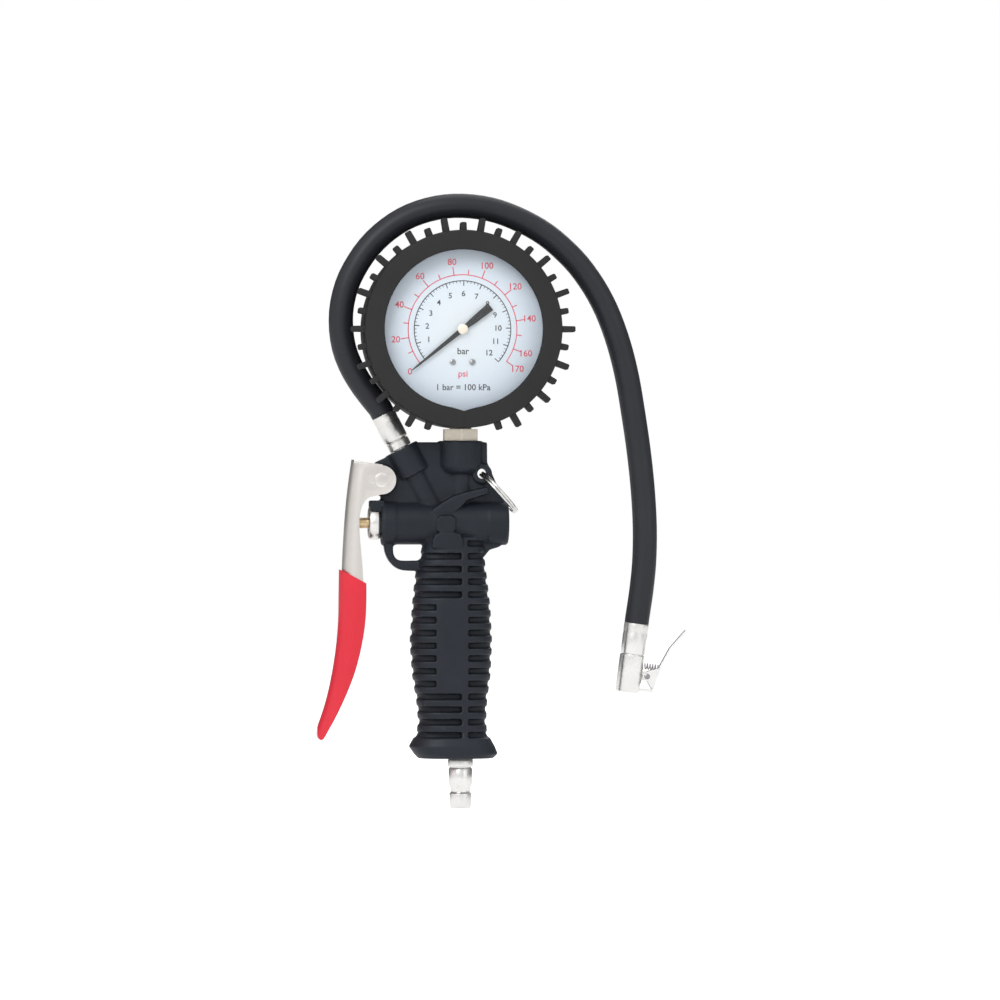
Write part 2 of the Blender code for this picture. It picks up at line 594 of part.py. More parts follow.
def shell_hollows():
    """The space inside the clamshell: one shape for each part of the block, and the grip's hollow."""
    pillars = [
        cross_rod(f"{name}_pillar", Vector((x, 0, z)), SCREW_PILLAR, 16)
        for name, (x, z) in SCREW_PLACES.items() if name.startswith("grip")
    ]
    hollow = grip_form("grip_hollow", GRIP_WALL_SIDE, GRIP_WALL_FACE, CAVITY_LOW, CAVITY_HIGH)
    return [
        rod("barrel_space", BARREL_START - GAP * X_AXIS, BARREL_END + GAP * X_AXIS, BARREL_RADIUS + GAP),
        rod("gland_space", BARREL_START - 5 * MM * X_AXIS, BARREL_START, GLAND_SHANK + GAP, sides=24),
        rod("tube_space", Vector((0, 0, 0)), Vector((0, 0, BARREL_HEIGHT)), TUBE_RADIUS + GAP, sides=24),
        rod("riser_space", Vector((0, 0, BARREL_HEIGHT)), Vector((0, 0, PORT_BOTTOM + MM)),
            RISER_RADIUS + GAP, sides=24),
        rod("port_space", Vector((0, 0, PORT_BOTTOM - GAP)), Vector((0, 0, BOSS_TOP + MM)),
            PORT_RADIUS + GAP),
        rod("hose_port_space", outlet_point(OUTLET_MOUTH - MM), outlet_point(HOSE_PORT_END + GAP),
            HOSE_PORT_RADIUS + GAP),
        rod("branch_space", outlet_point(HOSE_PORT_END), outlet_point(OUTLET_TO_BARREL),
            BRANCH_RADIUS + GAP, sides=24),
        cut(hollow, *pillars),
    ]


def make_shells():
    """Two half shells that meet on the plane y = 0."""
    outside = as_helper(shell_outside())
    hollows = shell_hollows()
    pivot_hole = cross_rod("pivot_hole", PIVOT, PIN_RADIUS + GAP)
    ring_hole = cross_rod("ring_hole", RING_HOLE, RING_HOLE_RADIUS, 24)
    far = 3 * REACH
    for name, low, high in (("shell_front", -REACH, -GAP / 2), ("shell_back", GAP / 2, REACH)):
        shell = box(name, (-far, low, -far), (far, high, far))
        combine(shell, "INTERSECT", [outside])
        cut(shell, *hollows, pivot_hole, ring_hole)
        finish(shell, "black_nylon")
        for screw, (x, z) in SCREW_PLACES.items():
            place = Vector((x, 0, z))
            if name == "shell_front":
                tip = place + (SCREW_HEAD_SEAT - SCREW_SHANK_LENGTH - GAP) * Y_AXIS
                cut(shell, rod(f"{screw}_pilot", tip, place + GAP * Y_AXIS, SCREW_SHANK + GAP, sides=12))
            else:
                cut(shell, rod(f"{screw}_hole", place, place + REACH * Y_AXIS, SCREW_SHANK + GAP, sides=12))
                seat = place + (SCREW_HEAD_SEAT - GAP) * Y_AXIS
                cut(shell, rod(f"{screw}_recess", seat, place + REACH * Y_AXIS, SCREW_HEAD_RADIUS + GAP,
                               sides=COARSE))


def make_screws():
    for name, (x, z) in SCREW_PLACES.items():
        top = SCREW_HEAD_SEAT + SCREW_HEAD_HEIGHT
        tip = SCREW_HEAD_SEAT - SCREW_SHANK_LENGTH
        screw = turned(name, Vector((x, 0, z)), Y_AXIS, (
            (0, top), (SCREW_HEAD_RADIUS * 0.8, top), (SCREW_HEAD_RADIUS, top - 0.5 * MM),
            (SCREW_HEAD_RADIUS, SCREW_HEAD_SEAT), (SCREW_SHANK, SCREW_HEAD_SEAT), (SCREW_SHANK, tip + MM),
            (0, tip),
        ), COARSE)
        finish(screw, "steel")


# Valve block and the parts in it

def make_block():
    """The cast core, with its bores and passages."""
    block = rod("valve_block", BARREL_START, BARREL_END, BARREL_RADIUS)
    zero = Vector((0, 0, 0))
    join(
        block,
        rod("tube_form", zero + TUBE_BOTTOM * Z_AXIS, zero + BARREL_HEIGHT * Z_AXIS, TUBE_RADIUS, sides=24),
        rod("riser_form", zero + BARREL_HEIGHT * Z_AXIS, zero + (PORT_BOTTOM + MM) * Z_AXIS, RISER_RADIUS,
            sides=24),
        rod("port_form", zero + PORT_BOTTOM * Z_AXIS, zero + PORT_TOP * Z_AXIS, PORT_RADIUS),
        rod("hose_port_form", outlet_point(OUTLET_MOUTH), outlet_point(HOSE_PORT_END), HOSE_PORT_RADIUS,
            sides=24),
        rod("branch_form", outlet_point(HOSE_PORT_END - MM), outlet_point(OUTLET_TO_BARREL), BRANCH_RADIUS,
            sides=24),
    )
    nipple_bore_top = NIPPLE_COLLAR_TOP + NIPPLE_SHANK_LENGTH + 2 * GAP
    cross_height = BARREL_HEIGHT - 2.6 * BARREL_RADIUS
    cut(
        block,
        rod("valve_bore", BARREL_START - MM * X_AXIS, BARREL_END - PLUG_BORE_LENGTH * X_AXIS, VALVE_BORE,
            sides=24),
        rod("plug_bore", BARREL_END - PLUG_BORE_LENGTH * X_AXIS, BARREL_END + MM * X_AXIS, PLUG_BORE,
            sides=24),
        rod("nipple_bore", zero, zero + nipple_bore_top * Z_AXIS, NIPPLE_SHANK + GAP, sides=24),
        rod("tube_bore", zero + (nipple_bore_top - MM) * Z_AXIS, zero + (cross_height + 3 * MM) * Z_AXIS,
            TUBE_BORE, sides=COARSE),
        rod("inlet_passage", Vector((INLET_PASSAGE_X, 0, cross_height)),
            Vector((INLET_PASSAGE_X, 0, BARREL_HEIGHT)), INLET_PASSAGE_RADIUS, sides=12),
        rod("gauge_passage", Vector((GAUGE_PASSAGE_X, 0, BARREL_HEIGHT)),
            Vector((GAUGE_PASSAGE_X, 0, PORT_TOP)), GAUGE_PASSAGE_RADIUS, sides=12),
        rod("port_bore", zero + (PORT_TOP - PORT_DEPTH) * Z_AXIS, zero + (PORT_TOP + MM) * Z_AXIS,
            SOCKET_THREAD + GAP, sides=24),
        rod("hose_port_bore", outlet_point(OUTLET_MOUTH - MM), outlet_point(OUTLET_MOUTH + HOSE_PORT_DEPTH),
            HOSE_PORT_BORE, sides=24),
        rod("hose_passage", outlet_point(OUTLET_MOUTH + HOSE_PORT_DEPTH - MM), outlet_point(OUTLET_TO_BARREL),
            BRANCH_PASSAGE, sides=12),
    )
    finish(block, "cast_alloy")


def make_valve_train():
    """Gland, plunger with its poppet, seat, spring and end plug, from left to right."""
    axis_start = Vector((0, 0, BARREL_HEIGHT))
    head_end = HEAD_LEFT - GAP
    gland = turned("valve_gland", axis_start, X_AXIS, (
        (GLAND_SHANK, head_end + GLAND_SHANK_LENGTH), (GLAND_SHANK, head_end), (GLAND_RADIUS, head_end),
        (GLAND_RADIUS, head_end - GLAND_HEAD_LENGTH + MM), (GLAND_RADIUS - MM, head_end - GLAND_HEAD_LENGTH),
        (STEM_RADIUS + GAP, head_end - GLAND_HEAD_LENGTH), (STEM_RADIUS + GAP, head_end + GLAND_SHANK_LENGTH),
    ), 24, closed=True)
    finish(gland, "nickel")

    seal_start = head_end + GLAND_SHANK_LENGTH + GAP
    section = (VALVE_BORE - STEM_RADIUS) / 2 - GAP
    middle = (VALVE_BORE + STEM_RADIUS) / 2
    profile = [
        (middle + section * math.cos(a), seal_start + section + section * math.sin(a))
        for a in (math.radians(90 - 60 * i) for i in range(6))
    ]
    finish(turned("stem_seal", axis_start, X_AXIS, profile, COARSE, closed=True), "seal_rubber")

    seat_right = SEAT_MIDDLE + SEAT_THICKNESS / 2
    seat_outside = VALVE_BORE - GAP
    seat = ring("valve_seat", axis_start, X_AXIS, seat_outside - SEAT_WALL, seat_outside,
                seat_right - SEAT_THICKNESS, seat_right, 24)
    finish(seat, "brass")

    seal_left = seat_right + GAP
    poppet_left = seal_left + POPPET_SEAL + GAP
    poppet_right = poppet_left + POPPET_THICKNESS
    stem_left = stem_tip()
    plunger = turned("valve_plunger", axis_start, X_AXIS, (
        (0, poppet_right), (POPPET_RADIUS, poppet_right), (POPPET_RADIUS, poppet_left),
        (NECK_RADIUS, poppet_left), (NECK_RADIUS, stem_left + STEM_LENGTH),
        (STEM_RADIUS, stem_left + STEM_LENGTH - 0.8 * MM), (STEM_RADIUS, stem_left + 0.8 * MM),
        (STEM_RADIUS - 0.8 * MM, stem_left), (0, stem_left),
    ), 24)
    finish(plunger, "brass")
    poppet_seal = ring("poppet_seal", axis_start, X_AXIS, NECK_RADIUS + GAP, POPPET_RADIUS - 0.2 * MM,
                       seal_left, seal_left + POPPET_SEAL, COARSE)
    finish(poppet_seal, "seal_rubber")

    plug_left = BARREL_RIGHT - PLUG_BORE_LENGTH + GAP
    plug = rod("valve_end_plug", axis_start + plug_left * X_AXIS,
               axis_start + (plug_left + PLUG_THICKNESS) * X_AXIS, PLUG_BORE - GAP, sides=24)
    slot_x = plug_left + PLUG_THICKNESS - 1.2 * MM
    slot_z = BARREL_HEIGHT
    cut(plug, box("plug_slot", (slot_x, -REACH, slot_z - 0.6 * MM),
                  (slot_x + REACH, REACH, slot_z + 0.6 * MM)))
    finish(plug, "brass")

    spring_start = poppet_right + GAP + SPRING_WIRE
    spring_end = plug_left - GAP - SPRING_WIRE
    points = coil_points(axis_start + spring_start * X_AXIS, axis_start + spring_end * X_AXIS, SPRING_RADIUS,
                         SPRING_TURNS)
    finish(wire("valve_spring", points, SPRING_WIRE), "steel")


def make_inlet():
    shank_top = NIPPLE_COLLAR_TOP + NIPPLE_SHANK_LENGTH
    outside = [(NIPPLE_SHANK, shank_top), (NIPPLE_SHANK, NIPPLE_COLLAR_TOP)]
    outside += [mm(radius, height) for radius, height in NIPPLE_PROFILE]
    inside = [(NIPPLE_BORE, 0), (NIPPLE_BORE, shank_top)]
    nipple = turned("inlet_nipple", Vector((0, 0, 0)), Z_AXIS, outside + inside, 24, closed=True)
    finish(nipple, "nickel")
    low = NIPPLE_COLLAR_TOP + GAP
    seal = ring("inlet_seal", Vector((0, 0, 0)), Z_AXIS, NIPPLE_SHANK + GAP, TUBE_RADIUS - 0.4 * MM, low,
                low + SEAL_THICKNESS, 24)
    finish(seal, "seal_rubber")


# Lever and ring

def lever_outline():
    left = [by_pivot(*point) for point in LEVER_LEFT_EDGE]
    right = [by_pivot(*point) for point in LEVER_RIGHT_EDGE]
    ear = arc((PIVOT.x, PIVOT.z), EAR_RADIUS, -90, 90, 10)
    return left + right + ear + [(PIVOT.x - 8 * MM, PIVOT.z + EAR_RADIUS + 0.6 * MM)]


def lever_left(height):
    """x of the web's outer face at a height."""
    edge = [by_pivot(*point) for point in LEVER_LEFT_EDGE]
    for upper, lower in zip(edge, edge[1:]):
        if lower[1] <= height <= upper[1]:
            share = (height - lower[1]) / (upper[1] - lower[1])
            return lower[0] + (upper[0] - lower[0]) * share
    return edge[-1][0]


def stem_tip():
    """x of the plunger's left end, just short of the lever's web."""
    nearest = max(lever_left(BARREL_HEIGHT + side * STEM_RADIUS) for side in (-1, 0, 1))
    return nearest + LEVER_STEEL + GAP


def make_lever():
    outline = lever_outline()
    lever = plate("lever", outline, -LEVER_HALF, LEVER_HALF)
    inner = [(x + LEVER_STEEL, z) for x, z in (by_pivot(*point) for point in LEVER_LEFT_EDGE)]
    above = [(inner[0][0] + 0.1 * MM, inner[0][1] + 10 * MM)]
    low_x, low_z = inner[-1]
    channel = above + inner[:-1] + [(low_x + 1.0 * MM, low_z + 2.0 * MM)]
    channel += [(-20 * MM, low_z + 2.0 * MM), (-20 * MM, inner[0][1] + 10 * MM)]
    inside = LEVER_HALF - LEVER_STEEL
    cut(lever, plate("lever_channel", channel, -inside, inside),
        cross_rod("lever_pin_hole", PIVOT, PIN_RADIUS + GAP))
    set_origin(lever, PIVOT)
    finish(lever, "nickel")

    sleeve = plate("lever_sleeve", offset(outline, GAP + SLEEVE_WALL), -LEVER_HALF - GAP - SLEEVE_WALL,
                   LEVER_HALF + GAP + SLEEVE_WALL)
    lining = plate("sleeve_lining", offset(outline, GAP), -LEVER_HALF - GAP, LEVER_HALF + GAP)
    left, right = by_pivot(*SLEEVE_EDGE_LEFT), by_pivot(*SLEEVE_EDGE_RIGHT)
    slope = (right[1] - left[1]) / (right[0] - left[0])
    far_left, far_right = left[0] - 20 * MM, right[0] + 60 * MM
    edge = [(x, left[1] + slope * (x - left[0])) for x in (far_left, far_right)]
    above_edge = plate("sleeve_end", edge + [(far_right, 3 * REACH), (far_left, 3 * REACH)], -REACH, REACH)
    cut(sleeve, lining, above_edge)
    set_origin(sleeve, PIVOT)
    finish(sleeve, "red_sleeve")

    head = LEVER_HALF + GAP
    pin = turned("lever_pin", PIVOT, Y_AXIS, (
        (0, head + PIN_HEAD), (PIN_HEAD_RADIUS - 0.5 * MM, head + PIN_HEAD), (PIN_HEAD_RADIUS, head),
        (PIN_RADIUS, head), (PIN_RADIUS, -head), (PIN_HEAD_RADIUS, -head),
        (PIN_HEAD_RADIUS - 0.5 * MM, -head - PIN_HEAD), (0, -head - PIN_HEAD),
    ), COARSE)
    finish(pin, "nickel")


def make_ring():
    """The ring hangs from its hole and leans on the shoulder, in a plane that holds the Y axis."""
    out = Vector((math.cos(RING_DROOP), 0, -math.sin(RING_DROOP)))
    middle = RING_HOLE + RING_RADIUS * out
    points = [
        middle + RING_RADIUS * (math.cos(a) * out + math.sin(a) * Y_AXIS)
        for a in (math.tau * i / 40 for i in range(40))
    ]
    hang_ring = meshed(wire("hang_ring", points, RING_WIRE, cyclic=True))
    set_origin(hang_ring, RING_HOLE)
    finish(hang_ring, "nickel")


# Gauge

SECTOR_PITCH_RADIUS = SECTOR_TEETH_FULL * TOOTH_PITCH / math.tau
PINION_PITCH_RADIUS = PINION_TEETH * TOOTH_PITCH / math.tau
SECTOR_PIVOT = GAUGE - (SECTOR_PITCH_RADIUS + PINION_PITCH_RADIUS) * Z_AXIS
LENS_BACK = CASE_FRONT - GAP
LENS_FRONT = LENS_BACK - LENS_THICKNESS
BEZEL_FRONT = LENS_FRONT - GAP - BEZEL_WALL
BEZEL_RADIUS = CASE_RADIUS + GAP + BEZEL_WALL
BEZEL_LIP = BEZEL_RADIUS - BEZEL_LIP_WIDTH
BOOT_FRONT = BEZEL_FRONT - GAP - BOOT_LIP_THICKNESS
BOOT_INSIDE = BEZEL_RADIUS + GAP
BOOT_RADIUS = BOOT_INSIDE + BOOT_WALL
BOOT_LIP, BOOT_BACK_LIP = BOOT_RADIUS - BOOT_LIP_WIDTH, BOOT_RADIUS - BOOT_BACK_LIP_WIDTH
GAUGE_XZ = (GAUGE.x, GAUGE.z)


def dial_ring(name, inner, outer, front, back, sides=FINE):
    """A ring or disc about the gauge's axis, between two values of y."""
    if inner:
        return ring(name, GAUGE, Y_AXIS, inner, outer, front, back, sides)
    return rod(name, GAUGE + front * Y_AXIS, GAUGE + back * Y_AXIS, outer, sides=sides)


def make_case():
    inside = CASE_RADIUS - CASE_WALL
    case = turned("gauge_case", GAUGE, Y_AXIS, (
        (0, CASE_BACK), (CASE_RADIUS - MM, CASE_BACK), (CASE_RADIUS, CASE_BACK - MM),
        (CASE_RADIUS, CASE_FRONT), (inside, CASE_FRONT), (inside, CASE_BACK - CASE_WALL),
        (0, CASE_BACK - CASE_WALL),
    ), FINE)
    stem_hole = rod("case_stem_hole", GAUGE - (CASE_RADIUS + 5 * MM) * Z_AXIS, GAUGE - 30 * MM * Z_AXIS,
                    SOCKET_NECK + GAP, sides=24)
    finish(cut(case, stem_hole), "steel")

    skirt_back = BEZEL_FRONT + BEZEL_WALL + BEZEL_SKIRT
    bezel = turned("gauge_bezel", GAUGE, Y_AXIS, (
        (BEZEL_RADIUS, skirt_back), (BEZEL_RADIUS, BEZEL_FRONT + 0.5 * MM),
        (BEZEL_RADIUS - 0.5 * MM, BEZEL_FRONT), (BEZEL_LIP, BEZEL_FRONT),
        (BEZEL_LIP, BEZEL_FRONT + BEZEL_WALL),
        (CASE_RADIUS + GAP, BEZEL_FRONT + BEZEL_WALL), (CASE_RADIUS + GAP, skirt_back),
    ), FINE, closed=True)
    finish(bezel, "steel")
    finish(dial_ring("gauge_lens", 0, LENS_RADIUS, LENS_FRONT, LENS_BACK), "clear")


def make_boot():
    """A rubber ring with a lip front and back, and long and short teeth in turn."""
    back = CASE_BACK + GAP
    body = turned("gauge_boot", GAUGE, Y_AXIS, (
        (BOOT_BACK_LIP, back + BOOT_BACK_THICKNESS), (BOOT_RADIUS - 2 * MM, back + BOOT_BACK_THICKNESS),
        (BOOT_RADIUS, back), (BOOT_RADIUS, BOOT_FRONT + 2.2 * MM),
        (BOOT_RADIUS - 2 * MM, BOOT_FRONT + 0.2 * MM),
        (BOOT_LIP + 1.5 * MM, BOOT_FRONT), (BOOT_LIP, BOOT_FRONT + MM), (BOOT_LIP, BEZEL_FRONT - GAP),
        (BOOT_INSIDE, BEZEL_FRONT - GAP), (BOOT_INSIDE, back), (BOOT_BACK_LIP, back),
    ), FINE, closed=True)
    toothed = []
    root = BOOT_RADIUS - 0.6 * MM
    for i in range(TOOTH_COUNT):
        middle = math.tau * i / TOOTH_COUNT
        if i in TOOTH_GAP_AT_STEM:
            toothed.append(polar(GAUGE_XZ, root, middle))
            continue
        tip = BOOT_RADIUS + (TOOTH_SHORT if i % 2 else TOOTH_LONG)
        for radius, side in ((root, -1), (tip, -1), (tip, 1), (root, 1)):
            turn = math.asin(TOOTH_WIDTH / 2 / radius)
            toothed.append(polar(GAUGE_XZ, radius, middle + side * turn))
    hole = arc(GAUGE_XZ, BOOT_INSIDE + MM, 0, 360 - 360 / FINE, FINE - 1)
    stem_hole = rod("boot_stem_hole", GAUGE - (BOOT_RADIUS + 6 * MM) * Z_AXIS, GAUGE - 30 * MM * Z_AXIS,
                    SOCKET_NECK + 2 * GAP, sides=24)
    cut(join(body, plate("boot_teeth", toothed, TOOTH_FRONT, TOOTH_BACK, [hole])), stem_hole)
    finish(body, "black_rubber")


def make_socket():
    """Brass stem: thread, spanner hex, neck through the case and the block that holds the tube."""
    hex_low = BOSS_TOP
    hex_high = hex_low + HEX_HEIGHT
    thread_low = PORT_TOP - PORT_DEPTH + GAP
    block_low = GAUGE.z - CASE_RADIUS + CASE_WALL + 2 * MM
    tube_start = polar(GAUGE_XZ, TUBE_COIL_RADIUS, TUBE_COIL_START)
    block_high = tube_start[1] - TUBE_SECTION - GAP
    corner = HEX_ACROSS_FLATS / math.sqrt(3)
    socket = rod("gauge_socket", hex_low * Z_AXIS, hex_high * Z_AXIS, corner, sides=6)
    width, depth = SOCKET_BLOCK
    join(
        socket,
        rod("socket_thread", thread_low * Z_AXIS, (hex_low + MM) * Z_AXIS, SOCKET_THREAD, sides=24),
        rod("socket_neck", (hex_high - MM) * Z_AXIS, (block_low + MM) * Z_AXIS, SOCKET_NECK, sides=24),
        box("socket_block", (-width / 2, -depth / 2, block_low), (width / 2, depth / 2, block_high)),
    )
    cut(socket, rod("socket_bore", thread_low * Z_AXIS - MM * Z_AXIS, (block_high + MM) * Z_AXIS, SOCKET_BORE,
                    sides=12))
    finish(socket, "brass")
    seal_low = PORT_TOP + GAP
    seal = ring("gauge_seal", Vector((0, 0, 0)), Z_AXIS, SOCKET_THREAD + GAP, PORT_RADIUS - 0.6 * MM,
                seal_low, hex_low - GAP, 24)
    finish(seal, "seal_rubber")


def gear_points(centre, pitch_radius, tooth_middles):
    """Outline points of straight-sided teeth at the given angles."""
    points = []
    for middle in tooth_middles:
        for radius, share in ((-DEDENDUM, 1.5), (ADDENDUM, 0.5), (ADDENDUM, -0.5), (-DEDENDUM, -1.5)):
            half = share * TOOTH_FILL * TOOTH_PITCH / 2
            radius += pitch_radius
            points.append(polar(centre, radius, middle + math.asin(half / radius)))
    return points


def make_movement():
    """Needle, pinion on its arbor, toothed sector, plates, tube and link."""
    low, high = PLATE_BOTTOM, PLATE_TOP
    half = PLATE_HALF_WIDTH
    corners = ((half, low), (half, high), (-half, high), (-half, low))
    outline = [(GAUGE.x + x, GAUGE.z + z) for x, z in corners]
    arbor_hole = cross_rod("arbor_hole", GAUGE, ARBOR_RADIUS + GAP, 12)
    sector_hole = cross_rod("sector_hole", SECTOR_PIVOT, 0.7 * MM + GAP, 12)
    dial_holes = [
        cross_rod(f"dial_hole_{side}", GAUGE + Vector((x, 0, -DIAL_SCREW_DROP)), DIAL_SCREW_SHANK + GAP, 12)
        for side, x in (("left", -DIAL_SCREW_X), ("right", DIAL_SCREW_X))
    ]
    front = plate("movement_plate_front", outline, PLATE_FRONT_Y, PLATE_FRONT_Y + PLATE_THICKNESS)
    finish(cut(front, arbor_hole, sector_hole, *dial_holes), "brass")
    back = plate("movement_plate_back", outline, PLATE_BACK_Y, PLATE_BACK_Y + PLATE_THICKNESS)
    pillars = [
        rod(f"pillar_{i}", Vector((GAUGE.x + x, PLATE_FRONT_Y + PLATE_THICKNESS + GAP, GAUGE.z + z)),
            Vector((GAUGE.x + x, PLATE_BACK_Y + 0.2 * MM, GAUGE.z + z)), PILLAR_RADIUS, sides=12)
        for i, (x, z) in enumerate(((-half + 2 * MM, high - 2 * MM), (-half + 2 * MM, low + 2 * MM)))
    ]
    finish(cut(join(back, *pillars), arbor_hole, sector_hole), "brass")

    # The pinion has a tooth straight down, which stands in a gap of the sector.
    step = math.tau / PINION_TEETH
    teeth = gear_points(GAUGE_XZ, PINION_PITCH_RADIUS, [-math.pi / 2 - step * i for i in range(PINION_TEETH)])
    arbor_front = NEEDLE_FRONT + NEEDLE_THICKNESS - 0.3 * MM
    arbor = rod("pinion_arbor", GAUGE + arbor_front * Y_AXIS, GAUGE + (PLATE_BACK_Y + 2 * MM) * Y_AXIS,
                ARBOR_RADIUS, sides=12)
    pinion_front, pinion_back = SECTOR_BACK - SECTOR_THICKNESS - 0.5 * MM, SECTOR_BACK + 0.5 * MM
    join(arbor, plate("pinion_teeth", teeth, pinion_front, pinion_back))
    finish(arbor, "brass")

    # At rest the pinion is at the left end of the sector's rim.
    pivot = (SECTOR_PIVOT.x, SECTOR_PIVOT.z)
    step = math.tau / SECTOR_TEETH_FULL
    middles = [math.pi / 2 + step * (1.5 - i) for i in range(SECTOR_TEETH)]
    rim = gear_points(pivot, SECTOR_PITCH_RADIUS, middles)
    tail = polar(pivot, SECTOR_TAIL, SECTOR_TAIL_ANGLE)
    hub = 2.2 * MM
    outline = [polar(pivot, hub, math.radians(150)), *rim, polar(pivot, hub, math.radians(10))]
    outline += [(tail[0] + 1.5 * MM, tail[1]), (tail[0], tail[1] - 1.6 * MM), (tail[0] - 1.5 * MM, tail[1])]
    outline += [polar(pivot, hub, math.radians(200))]
    sector = plate("sector_gear", outline, SECTOR_BACK - SECTOR_THICKNESS, SECTOR_BACK)
    shaft_front, shaft_back = PLATE_FRONT_Y - 0.6 * MM, PLATE_BACK_Y + 1.8 * MM
    join(sector, rod("sector_shaft", SECTOR_PIVOT + shaft_front * Y_AXIS, SECTOR_PIVOT + shaft_back * Y_AXIS,
                     0.7 * MM, sides=12))
    set_origin(sector, SECTOR_PIVOT)
    finish(sector, "brass")

    link_front = SECTOR_BACK + GAP
    tip = polar(GAUGE_XZ, TUBE_COIL_RADIUS - TUBE_SECTION - GAP - LINK_HALF_WIDTH, TUBE_COIL_END)
    along = Vector((tip[0] - tail[0], tip[1] - tail[1])).normalized() * LINK_HALF_WIDTH
    outline = [
        (tail[0] - along.x + along.y, tail[1] - along.y - along.x), (tip[0] + along.y, tip[1] - along.x),
        (tip[0] - along.y, tip[1] + along.x), (tail[0] - along.x - along.y, tail[1] - along.y + along.x),
    ]
    link = plate("bourdon_link", outline, link_front, link_front + LINK_THICKNESS)
    set_origin(link, Vector((tail[0], 0, tail[1])))
    finish(link, "brass")

    steps = 36
    angles = (TUBE_COIL_START + (TUBE_COIL_END - TUBE_COIL_START) * i / steps for i in range(steps + 1))
    places = (polar(GAUGE_XZ, TUBE_COIL_RADIUS, angle) for angle in angles)
    points = [Vector((x, TUBE_COIL_Y, z)) for x, z in places]
    finish(wire("bourdon_tube", points, TUBE_SECTION), "brass")


def make_dial():
    dial = dial_ring("gauge_dial", 1.6 * MM, DIAL_RADIUS, DIAL_FRONT, DIAL_FRONT + DIAL_THICKNESS)
    for side, x in (("left", -DIAL_SCREW_X), ("right", DIAL_SCREW_X)):
        place = GAUGE + Vector((x, 0, -DIAL_SCREW_DROP))
        cut(dial, cross_rod(f"dial_face_hole_{side}", place, DIAL_SCREW_SHANK + GAP, 12))
        head, screw_back = DIAL_FRONT - GAP, PLATE_FRONT_Y + 0.8 * MM
        screw = turned(f"dial_screw_{side}", place, Y_AXIS, (
            (0, screw_back), (DIAL_SCREW_SHANK, screw_back), (DIAL_SCREW_SHANK, head),
            (DIAL_SCREW_HEAD, head), (DIAL_SCREW_HEAD - 0.3 * MM, head - 0.5 * MM), (0, head - 0.5 * MM),
        ), 12)
        finish(screw, "needle_black")
    finish(dial, "dial_white")

    def along(reach, side):
        """(x, z) of a point this far along the needle, and this far to its side."""
        x, z = polar(GAUGE_XZ, reach, NEEDLE_ZERO)
        return (x - side * math.sin(NEEDLE_ZERO), z + side * math.cos(NEEDLE_ZERO))

    paddle, tail = NEEDLE_PADDLE, NEEDLE_TAIL
    outline = [along(NEEDLE_REACH, -0.25 * MM), along(NEEDLE_REACH, 0.25 * MM), along(1.9 * MM, 0.9 * MM)]
    outline += arc(GAUGE_XZ, 2.2 * MM, math.degrees(NEEDLE_ZERO) + 60, math.degrees(NEEDLE_ZERO) + 140, 4)
    outline += [along(-5 * MM, 1.0 * MM), along(-7.5 * MM, paddle), along(-tail, paddle * 0.8)]
    outline += [along(-tail, -paddle * 0.8), along(-7.5 * MM, -paddle), along(-5 * MM, -1.0 * MM)]
    outline += arc(GAUGE_XZ, 2.2 * MM, math.degrees(NEEDLE_ZERO) - 140, math.degrees(NEEDLE_ZERO) - 60, 4)
    outline += [along(1.9 * MM, -0.9 * MM)]
    needle = plate("needle", outline, NEEDLE_FRONT, NEEDLE_FRONT + NEEDLE_THICKNESS)
    bush = ARBOR_RADIUS + GAP + 0.4 * MM
    cut(needle, cross_rod("needle_hole", GAUGE, bush + GAP, COARSE))
    set_origin(needle, GAUGE)
    finish(needle, "needle_black")
    hub_back = NEEDLE_FRONT + NEEDLE_THICKNESS + 0.4 * MM
    head = NEEDLE_FRONT - GAP
    hub = turned("needle_hub", GAUGE, Y_AXIS, (
        (bush, hub_back), (bush, head), (HUB_RADIUS, head), (HUB_RADIUS - 0.3 * MM, head - 0.4 * MM),
        (0, head - 0.4 * MM), (0, NEEDLE_FRONT + NEEDLE_THICKNESS - 0.6 * MM),
        (ARBOR_RADIUS + GAP, NEEDLE_FRONT + NEEDLE_THICKNESS - 0.6 * MM), (ARBOR_RADIUS + GAP, hub_back),
    ), COARSE, closed=True)
    finish(hub, "brass")


# Hose and chuck

def make_hose():
    ferrule = turned("hose_ferrule", OUTLET_START, -OUTLET_AXIS, [
        (FERRULE_RADIUS * share, -GAP - FERRULE_LENGTH * along)
        for share, along in ((0, 0), (1, 0), (1, 0.18), (0.93, 0.24), (0.93, 0.34), (1, 0.4), (1, 0.93),
                             (0.93, 1), (0, 1))
    ], 24)
    finish(ferrule, "nickel")
    base = outlet_point(OUTLET_COLLAR)
    thread_end = FITTING_COLLAR_LENGTH + FITTING_THREAD_LENGTH
    fitting = turned("hose_fitting", base, -OUTLET_AXIS, (
        (FITTING_BORE, 0), (FITTING_COLLAR_RADIUS - 0.6 * MM, 0), (FITTING_COLLAR_RADIUS, -0.6 * MM),
        (FITTING_COLLAR_RADIUS, -FITTING_COLLAR_LENGTH), (FITTING_THREAD, -FITTING_COLLAR_LENGTH),
        (FITTING_THREAD, -thread_end), (FITTING_BORE, -thread_end),
    ), 24, closed=True)
    finish(fitting, "nickel")
    ends = (OUTLET_START, outlet_point(-HOSE_STRAIGHT)), (chuck_point(-HOSE_STRAIGHT), CHUCK_START)
    route = [ends[0][1], *(at(x, z) for x, z in HOSE_ROUTE), ends[1][0]]
    path = [ends[0][0], *smooth_path(route, HOSE_STEP * 2 * HOSE_RADIUS), ends[1][1]]
    finish(wire("hose", path, HOSE_RADIUS, resolution=3), "black_rubber")


